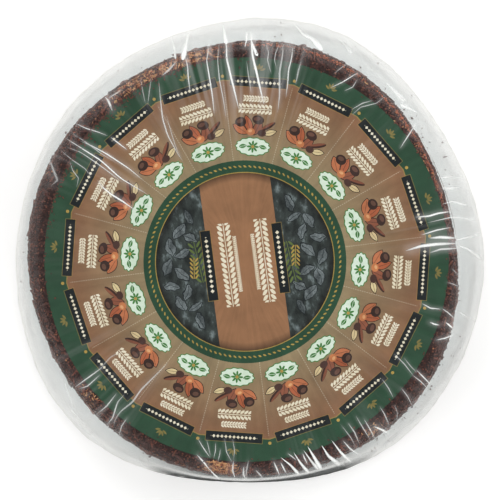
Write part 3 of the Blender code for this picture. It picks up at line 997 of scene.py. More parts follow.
def middle_print(tree, flat, look):
    """Middle of the label: dark fields strewn with silver leaves, each side of a plain brown strip.

    The field on the left is the one on the right turned end for end.
    """
    turned = add_node(
        tree,
        "ShaderNodeMapping",
        {"Vector": flat, "Rotation": (0.0, 0.0, math.radians(STRIP_TURN))},
        vector_type="TEXTURE",
    ).outputs[0]
    parts = add_node(tree, "ShaderNodeSeparateXYZ", {0: turned})
    side = add_node(tree, "ShaderNodeMath", {0: parts.outputs[0]}, operation="SIGN")
    folded = add_node(tree, "ShaderNodeVectorMath", {0: turned, "Scale": side.outputs[0]}, operation="SCALE")
    folded = folded.outputs[0]

    # Dark field: charcoal to slate in soft patches, drawn out along the strip
    drawn = add_node(tree, "ShaderNodeMapping", {"Vector": folded, "Scale": (1.0, 0.55, 1.0)})
    mottle = add_node(
        tree,
        "ShaderNodeTexNoise",
        {"Vector": drawn.outputs[0], "Scale": 0.12, "Detail": 6.0, "Roughness": 0.62},
    )
    ramp = add_node(tree, "ShaderNodeValToRGB", {"Fac": mottle.outputs["Fac"]})
    stops = ramp.color_ramp.elements
    stops[0].position, stops[0].color = 0.38, opaque(scaled(look.slate, 0.35))
    stops[1].position, stops[1].color = 0.72, opaque(linear("#8a9596"))
    middle = stops.new(0.56)
    middle.color = opaque(look.slate)
    ink = ramp.outputs["Color"]
    speckle = add_node(tree, "ShaderNodeTexNoise", {"Vector": folded, "Scale": 0.9, "Detail": 3.0})
    bent = add_node(tree, "ShaderNodeTexNoise", {"Vector": folded, "Scale": 0.16, "Detail": 2.0})
    shift = add_node(
        tree, "ShaderNodeVectorMath", {0: bent.outputs["Color"], 1: (0.5, 0.5, 0.5)}, operation="SUBTRACT"
    )
    uneven = add_node(
        tree,
        "ShaderNodeVectorMath",
        {0: shift.outputs[0], 1: (5.0, 5.0, 0.0), 2: folded},
        operation="MULTIPLY_ADD",
    ).outputs[0]
    light = add_node(
        tree,
        "ShaderNodeMix",
        {"Factor": speckle.outputs["Fac"], 6: opaque(linear("#3a4042")), 7: opaque(linear("#a3abac"))},
        data_type="RGBA",
    ).outputs[2]
    blotched = add_node(
        tree, "ShaderNodeMapRange", {0: mottle.outputs["Fac"], 1: 0.36, 2: 0.66, 3: 0.15, 4: 0.95}
    ).outputs[0]
    for centre, half, turn in SILVER_LEAVES:
        outline = leaf_mask(tree, uneven, centre, (half[0] + 0.6, half[1] + 0.9), turn)
        ink = inked(tree, ink, outline, linear("#1c2123"))
        lit = both(tree, leaf_mask(tree, uneven, centre, half, turn), blotched)
        ink = add_node(tree, "ShaderNodeMix", {"Factor": lit, 6: ink, 7: light}, data_type="RGBA").outputs[2]
        vein = plate_mask(tree, uneven, centre, (0.22, 0.85 * half[1]), turn)
        ink = inked(tree, ink, vein, linear("#2b3234"))

    # Olive and gold leaves along the strip
    olive = linear("#5c6a3a")
    ink = garland(tree, ink, folded, (33.0, -4.0), 15.0, (0.8, 2.6), 4.2, olive, 96.0)
    ink = garland(tree, ink, folded, (36.6, 0.0), 7.5, (0.6, 1.8), 3.0, look.gold, 84.0)

    # Plain brown strip, a little cloudy
    strip = add_node(
        tree, "ShaderNodeMath", {0: parts.outputs[0], 1: 0.0, 2: STRIP_HALF_WIDTH}, operation="COMPARE"
    ).outputs[0]
    cloud = add_node(tree, "ShaderNodeTexNoise", {"Vector": flat, "Scale": 0.05, "Detail": 4.0})
    tan = add_node(
        tree,
        "ShaderNodeMix",
        {"Factor": cloud.outputs["Fac"], 6: opaque(look.strip), 7: opaque(scaled(look.strip, 1.25))},
        data_type="RGBA",
    ).outputs[2]
    ink = add_node(tree, "ShaderNodeMix", {"Factor": strip, 6: ink, 7: tan}, data_type="RGBA").outputs[2]

    # A dark plate with a gold line and a row of small marks over each edge of the strip
    ink = inked(tree, ink, plate_mask(tree, folded, STRIP_PLATE, (3.9, 25.5)), look.gold, 0.40)
    ink = inked(tree, ink, plate_mask(tree, folded, STRIP_PLATE, (3.5, 25.1)), look.plate)
    halves = add_node(tree, "ShaderNodeSeparateXYZ", {0: folded})
    step = repeated(tree, halves.outputs[1], 3.6)
    row = add_node(tree, "ShaderNodeCombineXYZ", {0: halves.outputs[0], 1: step}).outputs[0]
    lozenge = plate_mask(tree, row, (STRIP_PLATE[0], 0.0), (1.0, 1.0), 45.0)
    window = plate_mask(tree, folded, STRIP_PLATE, (3.0, 20.5))
    ink = inked(tree, ink, both(tree, lozenge, window), look.cream)

    # Large and small garlands on the strip
    large = (30.0, (1.15, 2.7), 3.8)
    small = (20.0, (0.35, 0.8), 1.5)
    for across, (half_length, leaf, spacing) in ((-12.2, large), (-5.4, small), (7.6, small), (14.4, large)):
        turn = 90.0 if across > 0 else -90.0
        ink = garland(tree, ink, turned, (across, -0.8), half_length, leaf, spacing, look.cream, turn)
    return ink


def label_material(name, look, printed):
    """Coated label paper: offset print under a satin coat, with a faint fibre in its surface."""
    material, tree, output = new_material(name)
    ink, radius, flat = printed(tree, look)
    place = add_node(tree, "ShaderNodeTexCoord").outputs["Object"]
    mottle = add_node(tree, "ShaderNodeTexNoise", {"Vector": place, "Scale": 1 / (16 * MM), "Detail": 5.0})
    parts = add_node(tree, "ShaderNodeSeparateXYZ", {0: flat})
    angle = add_node(tree, "ShaderNodeMath", {0: parts.outputs[1], 1: parts.outputs[0]}, operation="ARCTAN2")
    polar = add_node(tree, "ShaderNodeCombineXYZ", {0: angle.outputs[0], 1: radius})
    drawn = add_node(tree, "ShaderNodeMapping", {"Vector": polar.outputs[0], "Scale": (22.0, 0.035, 1.0)})
    streaks = add_node(
        tree,
        "ShaderNodeTexNoise",
        {"Vector": drawn.outputs[0], "Scale": 1.0, "Detail": 4.0, "Roughness": 0.6},
    )
    # Blotches and radial streaks over the print: partly wear on the paper, partly painted shade and sheen of
    # the film's wrinkles
    blotched = ink
    for noise, strength in ((mottle, 0.34), (streaks, 0.26)):
        blotched = add_node(
            tree,
            "ShaderNodeMix",
            {"Factor": strength, 6: blotched, 7: noise.outputs["Fac"]},
            data_type="RGBA",
            blend_type="OVERLAY",
        ).outputs[2]
    fibre = add_node(tree, "ShaderNodeTexNoise", {"Vector": place, "Scale": 1 / (0.6 * MM), "Detail": 2.0})
    bump = add_node(
        tree, "ShaderNodeBump", {"Height": fibre.outputs["Fac"], "Strength": 0.15, "Distance": 0.1 * MM}
    )
    shader = add_node(
        tree,
        "ShaderNodeBsdfPrincipled",
        {"Base Color": blotched, "Roughness": 0.55, "Specular IOR Level": 0.2, "Normal": bump.outputs["Normal"]},
    )
    tree.links.new(shader.outputs[0], output.inputs["Surface"])
    return material


class CHEESE_OT_label(bpy.types.Operator):
    """Make the paper label"""

    bl_idname = "cheese.label"
    bl_label = "Paper label"

    def execute(self, context):
        look = context.scene.cheese_label
        angle = np.arange(LABEL_COLUMNS) * 2 * math.pi / LABEL_COLUMNS
        radius = np.sort(np.append(LABEL_RADIUS * np.linspace(0.03, 1.0, LABEL_ROWS), RING_MIDDLE * MM))
        flat_x = radius[:, None] * np.cos(angle)
        flat_y = radius[:, None] * np.sin(angle)
        place = np.stack((flat_x, flat_y, np.zeros_like(flat_x)), axis=-1)
        lift = look.wave * (lattice_noise(place, 42 * MM, 12) - 0.5)
        level = LABEL_HIGH[2] - 0.1 * MM + lift
        upper = np.stack((LABEL_MIDDLE[0] + flat_x, LABEL_MIDDLE[1] + flat_y, level), axis=-1)
        lower = upper[::-1] - (0.0, 0.0, LABEL_THICK)
        rows = np.concatenate((upper, lower))
        top = (*LABEL_MIDDLE, level[0].mean())
        bottom = (*LABEL_MIDDLE, level[0].mean() - LABEL_THICK)
        points, faces = closed_form(rows, top, bottom)
        outside = label_material("printed_label_paper", look, wedge_print)
        inner = label_material("printed_label_paper_middle", look, disc_print)
        piece = new_piece("paper_label", points, faces, outside, "label_sheet")
        piece.data.materials.append(inner)
        centres = np.array([np.mean([points[i][:2] for i in face], axis=0) for face in faces])
        inside = np.hypot(*(centres - LABEL_MIDDLE).T) < RING_MIDDLE * MM
        piece.data.polygons.foreach_set("material_index", inside.astype(np.int32))
        piece.data.shade_smooth()
        piece.data.set_sharp_from_angle(angle=math.radians(40))
        return {"FINISHED"}


# Clear film

FILM_COLUMNS = 1200
# Direction and spread in degrees of the painted shade on the film's front, where it also lies folded
FRONT_SHADE = (-87.0, 20.0)
LEAST_HAZE = 0.003
FILM_LEVEL = WHEEL_HEIGHT + 1.1 * MM
FILM_RIM_GAP = 1.1 * MM
FILM_RIM_SLACK = 2.6 * MM
FILM_FLOOR = 0.15 * MM

# Folds, read off the photograph: width in millimetres, whiteness, and the pixels that the crest runs through
# The whiteness is a painted highlight along each crest, partly the milkiness of film doubled on itself
FOLDS = (
    (1.1, 0.95, (62, 136), (100, 160), (120, 178), (150, 196)),
    (1.0, 0.90, (78, 140), (90, 145), (105, 153), (128, 168), (144, 181)),
    (0.8, 0.75, (73, 122), (85, 128), (98, 132), (108, 136)),
    (0.9, 0.95, (110, 137), (118, 143), (127, 150)),
    (0.8, 0.60, (64, 146), (80, 152), (95, 162), (110, 173), (124, 184)),
    (1.3, 0.95, (96, 179), (103, 188), (112, 195), (122, 201), (136, 211)),
    (0.9, 0.40, (60, 150), (72, 160), (84, 168), (92, 178)),
    (0.7, 0.45, (69, 132), (84, 141), (100, 153), (116, 163)),
    (2.2, 0.30, (48, 156), (52, 168), (57, 180), (50, 186)),
    (0.8, 0.40, (69, 160), (72, 170), (78, 178), (76, 188)),
    (2.0, 0.70, (104, 96), (108, 101), (112, 111)),
    (1.6, 0.35, (106, 99), (114, 94), (122, 89)),
    (2.0, 0.45, (161, 76), (168, 70), (176, 61)),
    (1.2, 0.55, (158, 78), (160, 100), (162, 118), (167, 135), (178, 155), (184, 163)),
    (0.9, 0.30, (165, 112), (170, 130), (175, 146), (181, 160)),
    (1.0, 0.30, (140, 78), (142, 90), (145, 104)),
    (1.0, 0.30, (151, 76), (149, 90), (147, 106)),
    (1.1, 0.70, (184, 54), (187, 66), (188, 80), (190, 94)),
    (1.1, 0.85, (206, 40), (208, 50), (206, 60), (209, 78), (212, 96), (214, 118)),
    (0.9, 0.55, (219, 40), (217, 60), (219, 80), (223, 100), (226, 122)),
    (1.7, 0.95, (223, 34), (226, 46), (226, 58), (230, 75), (235, 95), (239, 112)),
    (1.2, 0.80, (246, 30), (246, 40), (244, 48)),
    (1.9, 1.00, (250, 28), (251, 42), (252, 56), (256, 72), (260, 90), (264, 106)),
    (1.0, 0.40, (246, 60), (248, 76), (251, 94)),
    (0.7, 0.50, (265, 42), (268, 52), (267, 60), (271, 75)),
    (0.7, 0.50, (279, 43), (275, 53), (274, 60), (276, 69)),
    (1.6, 0.50, (283, 40), (282, 55), (279, 72), (279, 95), (277, 114)),
    (1.1, 0.75, (293, 42), (291, 58), (288, 70), (287, 85), (285, 99)),
    (1.4, 0.35, (301, 60), (298, 70), (295, 85)),
    (0.9, 0.80, (329, 88), (342, 82), (353, 75), (359, 72)),
    (0.8, 0.50, (343, 91), (352, 87), (357, 79)),
    (0.8, 0.30, (347, 63), (340, 68), (333, 74)),
    (0.8, 0.50, (350, 110), (362, 103), (373, 100)),
    (0.8, 0.45, (350, 116), (360, 107), (376, 103), (386, 95)),
    (1.0, 0.70, (417, 121), (408, 135), (399, 149)),
    (2.8, 0.45, (438, 178), (450, 176), (466, 177)),
    (2.8, 0.55, (441, 188), (450, 188), (461, 187)),
    (1.6, 0.95, (414, 217), (428, 216), (438, 213), (452, 211)),
    (1.0, 0.60, (425, 223), (438, 220), (451, 217), (465, 218), (479, 221)),
    (1.2, 0.85, (420, 235), (436, 230), (451, 227)),
    (2.4, 0.90, (428, 238), (440, 237), (457, 238)),
    (2.6, 0.95, (404, 251), (420, 246), (436, 244), (458, 243)),
    (1.6, 0.65, (428, 253), (440, 249), (459, 248)),
    (0.8, 0.35, (446, 282), (453, 284), (460, 287)),
    (0.8, 0.30, (451, 268), (458, 275)),
    (1.1, 0.80, (421, 303), (430, 308), (441, 309)),
    (1.1, 0.60, (441, 308), (447, 312), (455, 319)),
    (1.3, 0.90, (429, 322), (434, 324), (439, 325)),
    (1.5, 0.95, (445, 322), (449, 325), (453, 329)),
    (1.3, 0.75, (435, 340), (445, 338), (454, 334)),
    (0.9, 0.45, (393, 353), (404, 364), (414, 377)),
    (0.8, 0.40, (403, 357), (410, 366), (417, 373)),
    (1.1, 0.80, (415, 369), (424, 378), (432, 386)),
    (0.9, 0.60, (412, 375), (420, 381), (427, 388)),
    (0.9, 0.45, (381, 378), (388, 388), (393, 398)),
    (0.9, 0.45, (400, 387), (407, 396), (412, 406)),
    (1.0, 0.50, (379, 406), (384, 414), (389, 426)),
    (0.8, 0.30, (394, 404), (397, 413), (396, 422)),
    (1.7, 0.95, (373, 426), (382, 430), (389, 434)),
    (1.0, 0.60, (363, 418), (370, 430), (375, 440)),
    (0.9, 0.50, (355, 415), (362, 427), (370, 440)),
    (1.1, 0.50, (347, 422), (354, 432), (359, 444)),
    (0.9, 0.35, (340, 424), (350, 437), (356, 448)),
    (1.3, 0.80, (342, 440), (350, 449), (360, 456)),
    (1.3, 0.85, (273, 461), (276, 468), (279, 475)),
    (1.3, 0.85, (280, 462), (283, 468), (286, 474)),
    (1.3, 0.60, (255, 470), (259, 474), (262, 478)),
    (1.0, 0.60, (287, 453), (291, 456), (296, 460)),
    (1.2, 0.75, (302, 453), (304, 458), (307, 464)),
    (0.9, 0.60, (197, 438), (203, 448), (210, 458)),
    (0.8, 0.40, (206, 439), (208, 447), (210, 456)),
    (0.8, 0.45, (215, 442), (215, 450), (213, 459)),
    (0.8, 0.40, (220, 448), (219, 455), (217, 462)),
    (0.8, 0.45, (224, 438), (226, 452), (232, 463)),
    (0.8, 0.35, (232, 438), (234, 450), (233, 460)),
    (1.4, 0.85, (196, 454), (204, 463), (210, 471)),
    (1.5, 0.60, (233, 460), (232, 470), (235, 480)),
    (1.6, 0.70, (243, 466), (243, 474), (245, 481)),
    (1.3, 0.40, (248, 460), (246, 470), (245, 479)),
    (1.0, 0.65, (73, 388), (84, 380), (98, 370), (104, 365)),
    (0.9, 0.60, (77, 389), (87, 386), (100, 374)),
    (1.2, 0.25, (99, 369), (110, 357), (122, 350)),
    (1.1, 0.50, (95, 415), (106, 406), (117, 392)),
    (1.2, 0.55, (105, 426), (112, 418), (117, 402), (124, 394)),
    (1.6, 0.40, (113, 431), (114, 420), (120, 411), (132, 402), (140, 390), (152, 378), (170, 360)),
    (1.0, 0.45, (118, 437), (121, 426), (127, 417)),
    (1.8, 0.30, (61, 378), (68, 394), (73, 411)),
    (1.6, 0.35, (60, 398), (74, 414), (92, 434), (106, 450)),
    (1.2, 0.60, (138, 459), (142, 465), (148, 471)),
    (2.4, 0.40, (456, 310), (466, 316), (479, 323)),
)

# Where the film's cover is gathered over the label and streaked with painted sheen: direction and half spread
# in degrees, and strength
SHEEN_GATHERS = (
    (148.0, 9.0, 0.55), (121.0, 8.0, 0.35), (103.0, 7.0, 1.0), (90.0, 8.0, 1.3), (77.0, 7.0, 0.9),
    (45.0, 9.0, 0.2), (8.0, 9.0, 0.35), (-18.0, 7.0, 0.15), (-46.0, 12.0, 0.3), (-70.0, 9.0, 0.25),
    (-98.0, 8.0, 0.2), (-134.0, 9.0, 0.6), (-152.0, 7.0, 0.3), (176.0, 9.0, 0.15),
)
SHEEN_GATHER_STRENGTH = 0.12

# Glints of the lights on the film, painted as broad milk-white ridges, thin where they start and broad where
# they end, in the same terms
PAINTED_GLINTS = (
    (5.0, 0.95, (189, 26), (186, 40), (182, 60)),
    (2.6, 0.65, (171, 34), (173, 46), (175, 59)),
    (3.6, 0.95, (222, 22), (224, 34), (226, 44)),
    (3.4, 1.00, (250, 38), (253, 47), (257, 56)),
    (5.0, 0.95, (294, 22), (302, 33), (312, 38), (322, 50)),
    (5.5, 0.60, (338, 38), (345, 43), (352, 52)),
    (5.5, 0.75, (386, 82), (395, 91), (405, 101)),
    (3.4, 0.85, (418, 112), (409, 108), (400, 104)),
    (2.6, 0.80, (442, 204), (452, 201), (468, 205)),
    (3.6, 0.75, (456, 240), (468, 237), (482, 234)),
    (4.0, 0.85, (458, 245), (468, 249), (484, 260)),
    (3.4, 0.95, (331, 440), (340, 452), (352, 464)),
    (5.0, 0.95, (321, 445), (328, 456), (345, 470)),
    (4.2, 1.00, (307, 446), (313, 456), (321, 470)),
    (3.0, 0.85, (303, 450), (310, 460), (318, 470)),
    (3.2, 0.95, (293, 452), (300, 463), (309, 474)),
    (3.0, 0.95, (280, 457), (290, 465), (299, 475)),
    (2.6, 0.80, (208, 468), (214, 475), (221, 482)),
    (5.0, 0.30, (60, 402), (72, 412), (90, 436)),
)
FOLD_SAMPLES = 28
FOLD_RISE = 0.30
FOLD_WHITENESS = 1.15
# Breadth and strength of the painted sheen beside each fold
HALO_BREADTH = 1.7
HALO_STRENGTH = 0.10
FOLD_HALF_SECTION = 4


def film_rows():
    """Rows of the film: (zone, share) from the middle of the top to the foot of the side."""
    rows = [(0, share) for share in np.linspace(0.08, 0.38, 4)]
    rows += [(0, share) for share in np.linspace(0.42, 1.0, 35)]
    rows += [(1, share) for share in np.linspace(0.15, 1.0, 8)]
    rows += [(2, share) for share in np.linspace(0.04, 1.0, 24)]
    rows += [(3, share) for share in np.linspace(0.12, 1.0, 8)]
    return rows


def film_row(angle, zone, share):
    """Radius and height of one row of the film, by its zone.

    The zones are the flat top, the round over the rim, the side that falls and swells outwards, and the turn
    under, a quarter of a squarish round that ends on the floor.
    """
    rim_start = side_radius(WHEEL_HEIGHT - RIM_ROUND) - RIM_ROUND
    label_edge = LABEL_RADIUS + LABEL_SHIFT[0] * np.cos(angle) + LABEL_SHIFT[1] * np.sin(angle)
    start = np.maximum(rim_start + waves(angle, WHEEL_WAVES), label_edge - 0.3 * MM)
    if zone == 0:
        return share * start, np.full_like(angle, FILM_LEVEL)
    if zone == 1:
        turn = share * math.radians(82)
        arm = RIM_ROUND + FILM_RIM_GAP + FILM_RIM_SLACK * (1.0 - math.cos(turn))
        height = WHEEL_HEIGHT - RIM_ROUND + arm * math.cos(turn)
        radius = rim_start + waves(angle, WHEEL_WAVES) + arm * math.sin(turn)
        radius += (start - rim_start - waves(angle, WHEEL_WAVES)) * (1.0 - share ** 2)
        return radius, np.full_like(angle, height)
    if zone == 2:
        height = FILM_TOP_HEIGHT - (FILM_TOP_HEIGHT - FILM_WIDEST_HEIGHT) * share
        inner = wheel_outline(angle) + side_radius(height) - WHEEL_RADIUS + FILM_CLEARANCE
        swell = 1.0 - (1.0 - share) ** FILM_SWELL
        radius = inner + FILM_TOP_WIDTH * (1.0 - share) + (film_outline(angle) - inner) * swell
        return radius, np.full_like(angle, height)
    inner = wheel_outline(angle) + side_radius(0.0) - WHEEL_RADIUS + FILM_CLEARANCE
    foot = inner + FILM_FOOT_SHARE * (film_outline(angle) - inner)
    turn = share * math.pi / 2
    radius = foot + (film_outline(angle) - foot) * math.cos(turn) ** 0.7
    height = FILM_FLOOR + (FILM_WIDEST_HEIGHT - FILM_FLOOR) * (1.0 - math.sin(turn) ** 0.8)
    return radius, np.full_like(angle, height)


def photo_place(pixels):
    """Plan positions, in metres from the wheel's axis, of places in the photograph."""
    pixels = np.array(pixels, float)
    middle = (CAD_BOX[0] + CAD_BOX[1]) / 2
    scale = MM / PIXELS_PER_MM
    x = (pixels[:, 0] - PHOTO_MIDDLE[0]) * scale + middle[0] - AXIS[0]
    y = (PHOTO_MIDDLE[1] - pixels[:, 1]) * scale + middle[1] - AXIS[1]
    return np.stack((x, y), axis=1)


def on_grid(grid, row, column):
    """Values of a grid that closes round its columns, blended between its four nearest."""
    low_row = np.clip(np.floor(row).astype(int), 0, len(grid) - 2)
    low_column = np.floor(column).astype(int)
    part_row = (row - low_row)[..., None]
    part_column = (column - low_column)[..., None]
    count = grid.shape[1]
    near, far = [
        grid[low_row, place % count] * (1 - part_row) + grid[low_row + 1, place % count] * part_row
        for place in (low_column, low_column + 1)
    ]
    return near * (1 - part_column) + far * part_column


def fold_line(pixels):
    """Points spread evenly along a fold, in plan from the wheel's axis, with its corners eased."""
    nodes = photo_place(pixels)
    steps = np.concatenate(([0.0], np.cumsum(np.linalg.norm(np.diff(nodes, axis=0), axis=1))))
    along = np.linspace(0.0, steps[-1], FOLD_SAMPLES)
    plan = np.stack([np.interp(along, steps, nodes[:, i]) for i in (0, 1)], axis=1)
    plan[1:-1] = (plan[:-2] + 2 * plan[1:-1] + plan[2:]) / 4
    return plan


def sheen_halos(points):
    """Faint whiteness beside the folds, a painted sheen: for each, a bell of the distance from its line in
    plan.
    """
    plan = points[..., :2] - AXIS
    total = np.zeros(plan.shape[:-1])
    for width, white, *pixels in FOLDS:
        line = fold_line(pixels)[3:-3]
        reach = HALO_BREADTH * width * MM
        low, high = line.min(axis=0) - 3 * reach, line.max(axis=0) + 3 * reach
        near = np.all((plan > low) & (plan < high), axis=-1)
        square = ((plan[near][:, None, :] - line) ** 2).sum(axis=-1)
        if len(square):
            total[near] += HALO_STRENGTH * white * np.exp(-square.min(axis=1) / reach ** 2)
    return total


def fold_ridge(pixels, width, glint_patch, cover, out):
    """Points and whiteness of one fold: a low ridge along a line on the cover, its whiteness a painted
    highlight that fades lower down the side.

    Across it the height is (1 - s squared) to the power 1.5. Its width follows the sine of the way along, or
    for a painted glint grows to its broad end. Its foot closes just under the film.
    """
    plan = fold_line(pixels)
    share = np.linspace(0.0, 1.0, FOLD_SAMPLES)
    heading = np.gradient(plan, axis=0)
    heading /= np.linalg.norm(heading, axis=1, keepdims=True)
    across = np.stack((-heading[:, 1], heading[:, 0]), axis=1)
    if glint_patch:
        spread = share ** 0.8 * np.minimum(1.0, (1.0 - share) * 7.0) ** 0.5
    else:
        spread = np.sin(math.pi * share) ** 0.7
    spread = np.maximum(spread, 0.02) * width / 2
    s = np.linspace(-1.0, 1.0, 2 * FOLD_HALF_SECTION + 1)
    wide = plan[:, None, :] + across[:, None, :] * (spread[:, None] * s)[..., None]
    angle = np.arctan2(wide[..., 1], wide[..., 0])
    column = angle / (2 * math.pi) * cover.shape[1]
    reach = np.hypot(wide[..., 0], wide[..., 1])
    nearest = np.round(column).astype(int) % cover.shape[1]
    radii = np.hypot(cover[..., 0] - AXIS[0], cover[..., 1] - AXIS[1])
    rows = np.arange(len(cover))
    row = np.empty_like(reach)
    for place in np.ndindex(reach.shape):
        row[place] = np.interp(reach[place], np.maximum.accumulate(radii[:, nearest[place]]), rows)
    base = on_grid(cover, row, column)
    normal = on_grid(out, row, column)
    height = FOLD_RISE * spread[:, None] * (1.0 - s ** 2) ** 1.5
    upper = base + normal * (height + 0.03 * MM)[..., None]
    lower = base[:, ::-1] - normal[:, ::-1] * 0.12 * MM
    section = np.concatenate((upper, lower), axis=1)
    white = np.concatenate(((1.0 - np.abs(s)) ** 0.45, np.zeros(len(s))))
    fade = np.ones(FOLD_SAMPLES) if glint_patch else np.sin(math.pi * share) ** 0.5
    fade = fade * (0.08 + 0.92 * (base[:, FOLD_HALF_SECTION, 2] / FILM_LEVEL) ** 1.5)
    return section, fade[:, None] * white


def veil_and_sheen(angle, radius):
    """Whiteness of the gathered cover, partly its milkiness and partly painted sheen: noise drawn out along
    the radius, strongest at the gathered rim.
    """
    turn = np.stack((48.0 * np.cos(angle), 48.0 * np.sin(angle)), axis=-1) * np.ones_like(radius)[..., None]
    place = np.concatenate((turn, (radius / (55 * MM))[..., None]), axis=-1)
    streaks = lattice_noise(place, 1.0, 61) * 0.6 + lattice_noise(place * (2.1, 2.1, 1.0), 1.0, 62) * 0.4
    bundles = np.zeros_like(angle)
    for centre, spread, strength in SHEEN_GATHERS:
        bundles += strength * turned_from(angle, centre, spread)
    reach = smooth_step((radius - 62 * MM) / (85 * MM))
    return reach * (LEAST_HAZE + SHEEN_GATHER_STRENGTH * bundles * smooth_step((streaks - 0.38) / 0.45))


def bunching_and_shade(points, angle):
    """How far the side is folded in many layers, with painted shade on it: in facets, more on the right and
    left, and most in front.
    """
    streaks = ridged_noise(points * (1.0, 1.0, 0.15), 3.4 * MM, 51)
    patches = lattice_noise(points, 16 * MM, 52)
    grey = 0.01 + 0.12 * turned_from(angle, -25.0, 36.0) + 0.04 * turned_from(angle, 180.0, 35.0)
    facets = 0.13 * np.abs(patches - 0.5)
    front = 1.3 * turned_from(angle, *FRONT_SHADE) * smooth_step((86 * MM - points[..., 2]) / (36 * MM))
    return np.clip(grey + facets + front * smooth_step(1.2 * streaks + 1.2 * patches), 0.0, 0.44)


def film_material(look):
    """Cast clear packing film: nearly all light passes, gloss on its folds, milk-white where it lies folded,
    a white that also carries painted highlights and sheen.

    Where it lies folded in many layers, and where shade is painted on its front and sides, it lets less light
    through and mirrors less.
    """
    material, tree, output = new_material("clear_packing_film")
    place = add_node(tree, "ShaderNodeTexCoord").outputs["Object"]
    haze_and_highlight = add_node(tree, "ShaderNodeAttribute", attribute_name="haze_and_highlight").outputs["Fac"]
    crinkle = add_node(
        tree, "ShaderNodeTexNoise", {"Vector": place, "Scale": 1 / (5 * MM), "Detail": 3.0, "Roughness": 0.55}
    )
    slack = add_node(tree, "ShaderNodeAttribute", attribute_name="slack").outputs["Fac"]
    bump = add_node(
        tree, "ShaderNodeBump", {"Height": crinkle.outputs["Fac"], "Strength": slack, "Distance": MM}
    )
    facing = add_node(tree, "ShaderNodeLayerWeight", {"Blend": 0.5, "Normal": bump.outputs["Normal"]})
    thick = add_node(tree, "ShaderNodeMath", {0: facing.outputs["Facing"], 1: 4.0}, operation="POWER")
    passed = add_node(
        tree,
        "ShaderNodeMix",
        {"Factor": thick.outputs[0], 6: opaque(look.tint), 7: opaque(look.edge)},
        data_type="RGBA",
    )
    # Folded layers and painted shade darken the light that passes
    bunch_and_shade = add_node(tree, "ShaderNodeAttribute", attribute_name="bunch_and_shade").outputs["Fac"]
    passed = add_node(
        tree,
        "ShaderNodeMix",
        {"Factor": bunch_and_shade, 6: passed.outputs[2], 7: opaque(look.bunched_and_shaded)},
        data_type="RGBA",
    )
    clear = add_node(tree, "ShaderNodeBsdfTransparent", {"Color": passed.outputs[2]})
    milky_and_highlight = add_node(
        tree,
        "ShaderNodeBsdfPrincipled",
        {"Base Color": opaque(look.haze_and_highlight), "Roughness": 0.35, "Normal": bump.outputs["Normal"]},
    )
    # Less gloss where the film is darkened, part of the painted shade
    dull = add_node(tree, "ShaderNodeMapRange", {0: bunch_and_shade, 1: 0.18, 2: 0.42}).outputs[0]
    mirrored = add_node(
        tree,
        "ShaderNodeMix",
        {"Factor": dull, 6: opaque(look.gloss), 7: opaque(scaled(look.bunched_and_shaded, 0.4))},
        data_type="RGBA",
    )
    gloss = add_node(
        tree,
        "ShaderNodeBsdfGlossy",
        {"Color": mirrored.outputs[2], "Roughness": 0.09, "Normal": bump.outputs["Normal"]},
    )
    # Milk-white share: folded film, and painted highlights and sheen
    sheer = add_node(tree, "ShaderNodeMixShader", {0: haze_and_highlight, 1: clear.outputs[0], 2: milky_and_highlight.outputs[0]})
    steep = add_node(tree, "ShaderNodeMath", {0: facing.outputs["Facing"], 1: 5.0}, operation="POWER")
    share = add_node(
        tree, "ShaderNodeMath", {0: steep.outputs[0], 1: 0.96, 2: 0.04}, operation="MULTIPLY_ADD"
    )
    film = add_node(
        tree, "ShaderNodeMixShader", {0: share.outputs[0], 1: sheer.outputs[0], 2: gloss.outputs[0]}
    )
    tree.links.new(film.outputs[0], output.inputs["Surface"])
    return material


def crease_highlight_material(look):
    """Film creased on itself: milk-white where it is thickest, a painted highlight of the crease as well as
    the milkiness of doubled film, and nothing but clear where it thins out.
    """
    material, tree, output = new_material("creased_film_painted_highlight")
    haze_and_highlight = add_node(tree, "ShaderNodeAttribute", attribute_name="haze_and_highlight").outputs["Fac"]
    clear = add_node(tree, "ShaderNodeBsdfTransparent", {"Color": (1.0, 1.0, 1.0, 1.0)})
    milky_and_highlight = add_node(
        tree, "ShaderNodeBsdfPrincipled", {"Base Color": opaque(look.haze_and_highlight), "Roughness": 0.35}
    )
    creased = add_node(tree, "ShaderNodeMixShader", {0: haze_and_highlight, 1: clear.outputs[0], 2: milky_and_highlight.outputs[0]})
    tree.links.new(creased.outputs[0], output.inputs["Surface"])
    return material


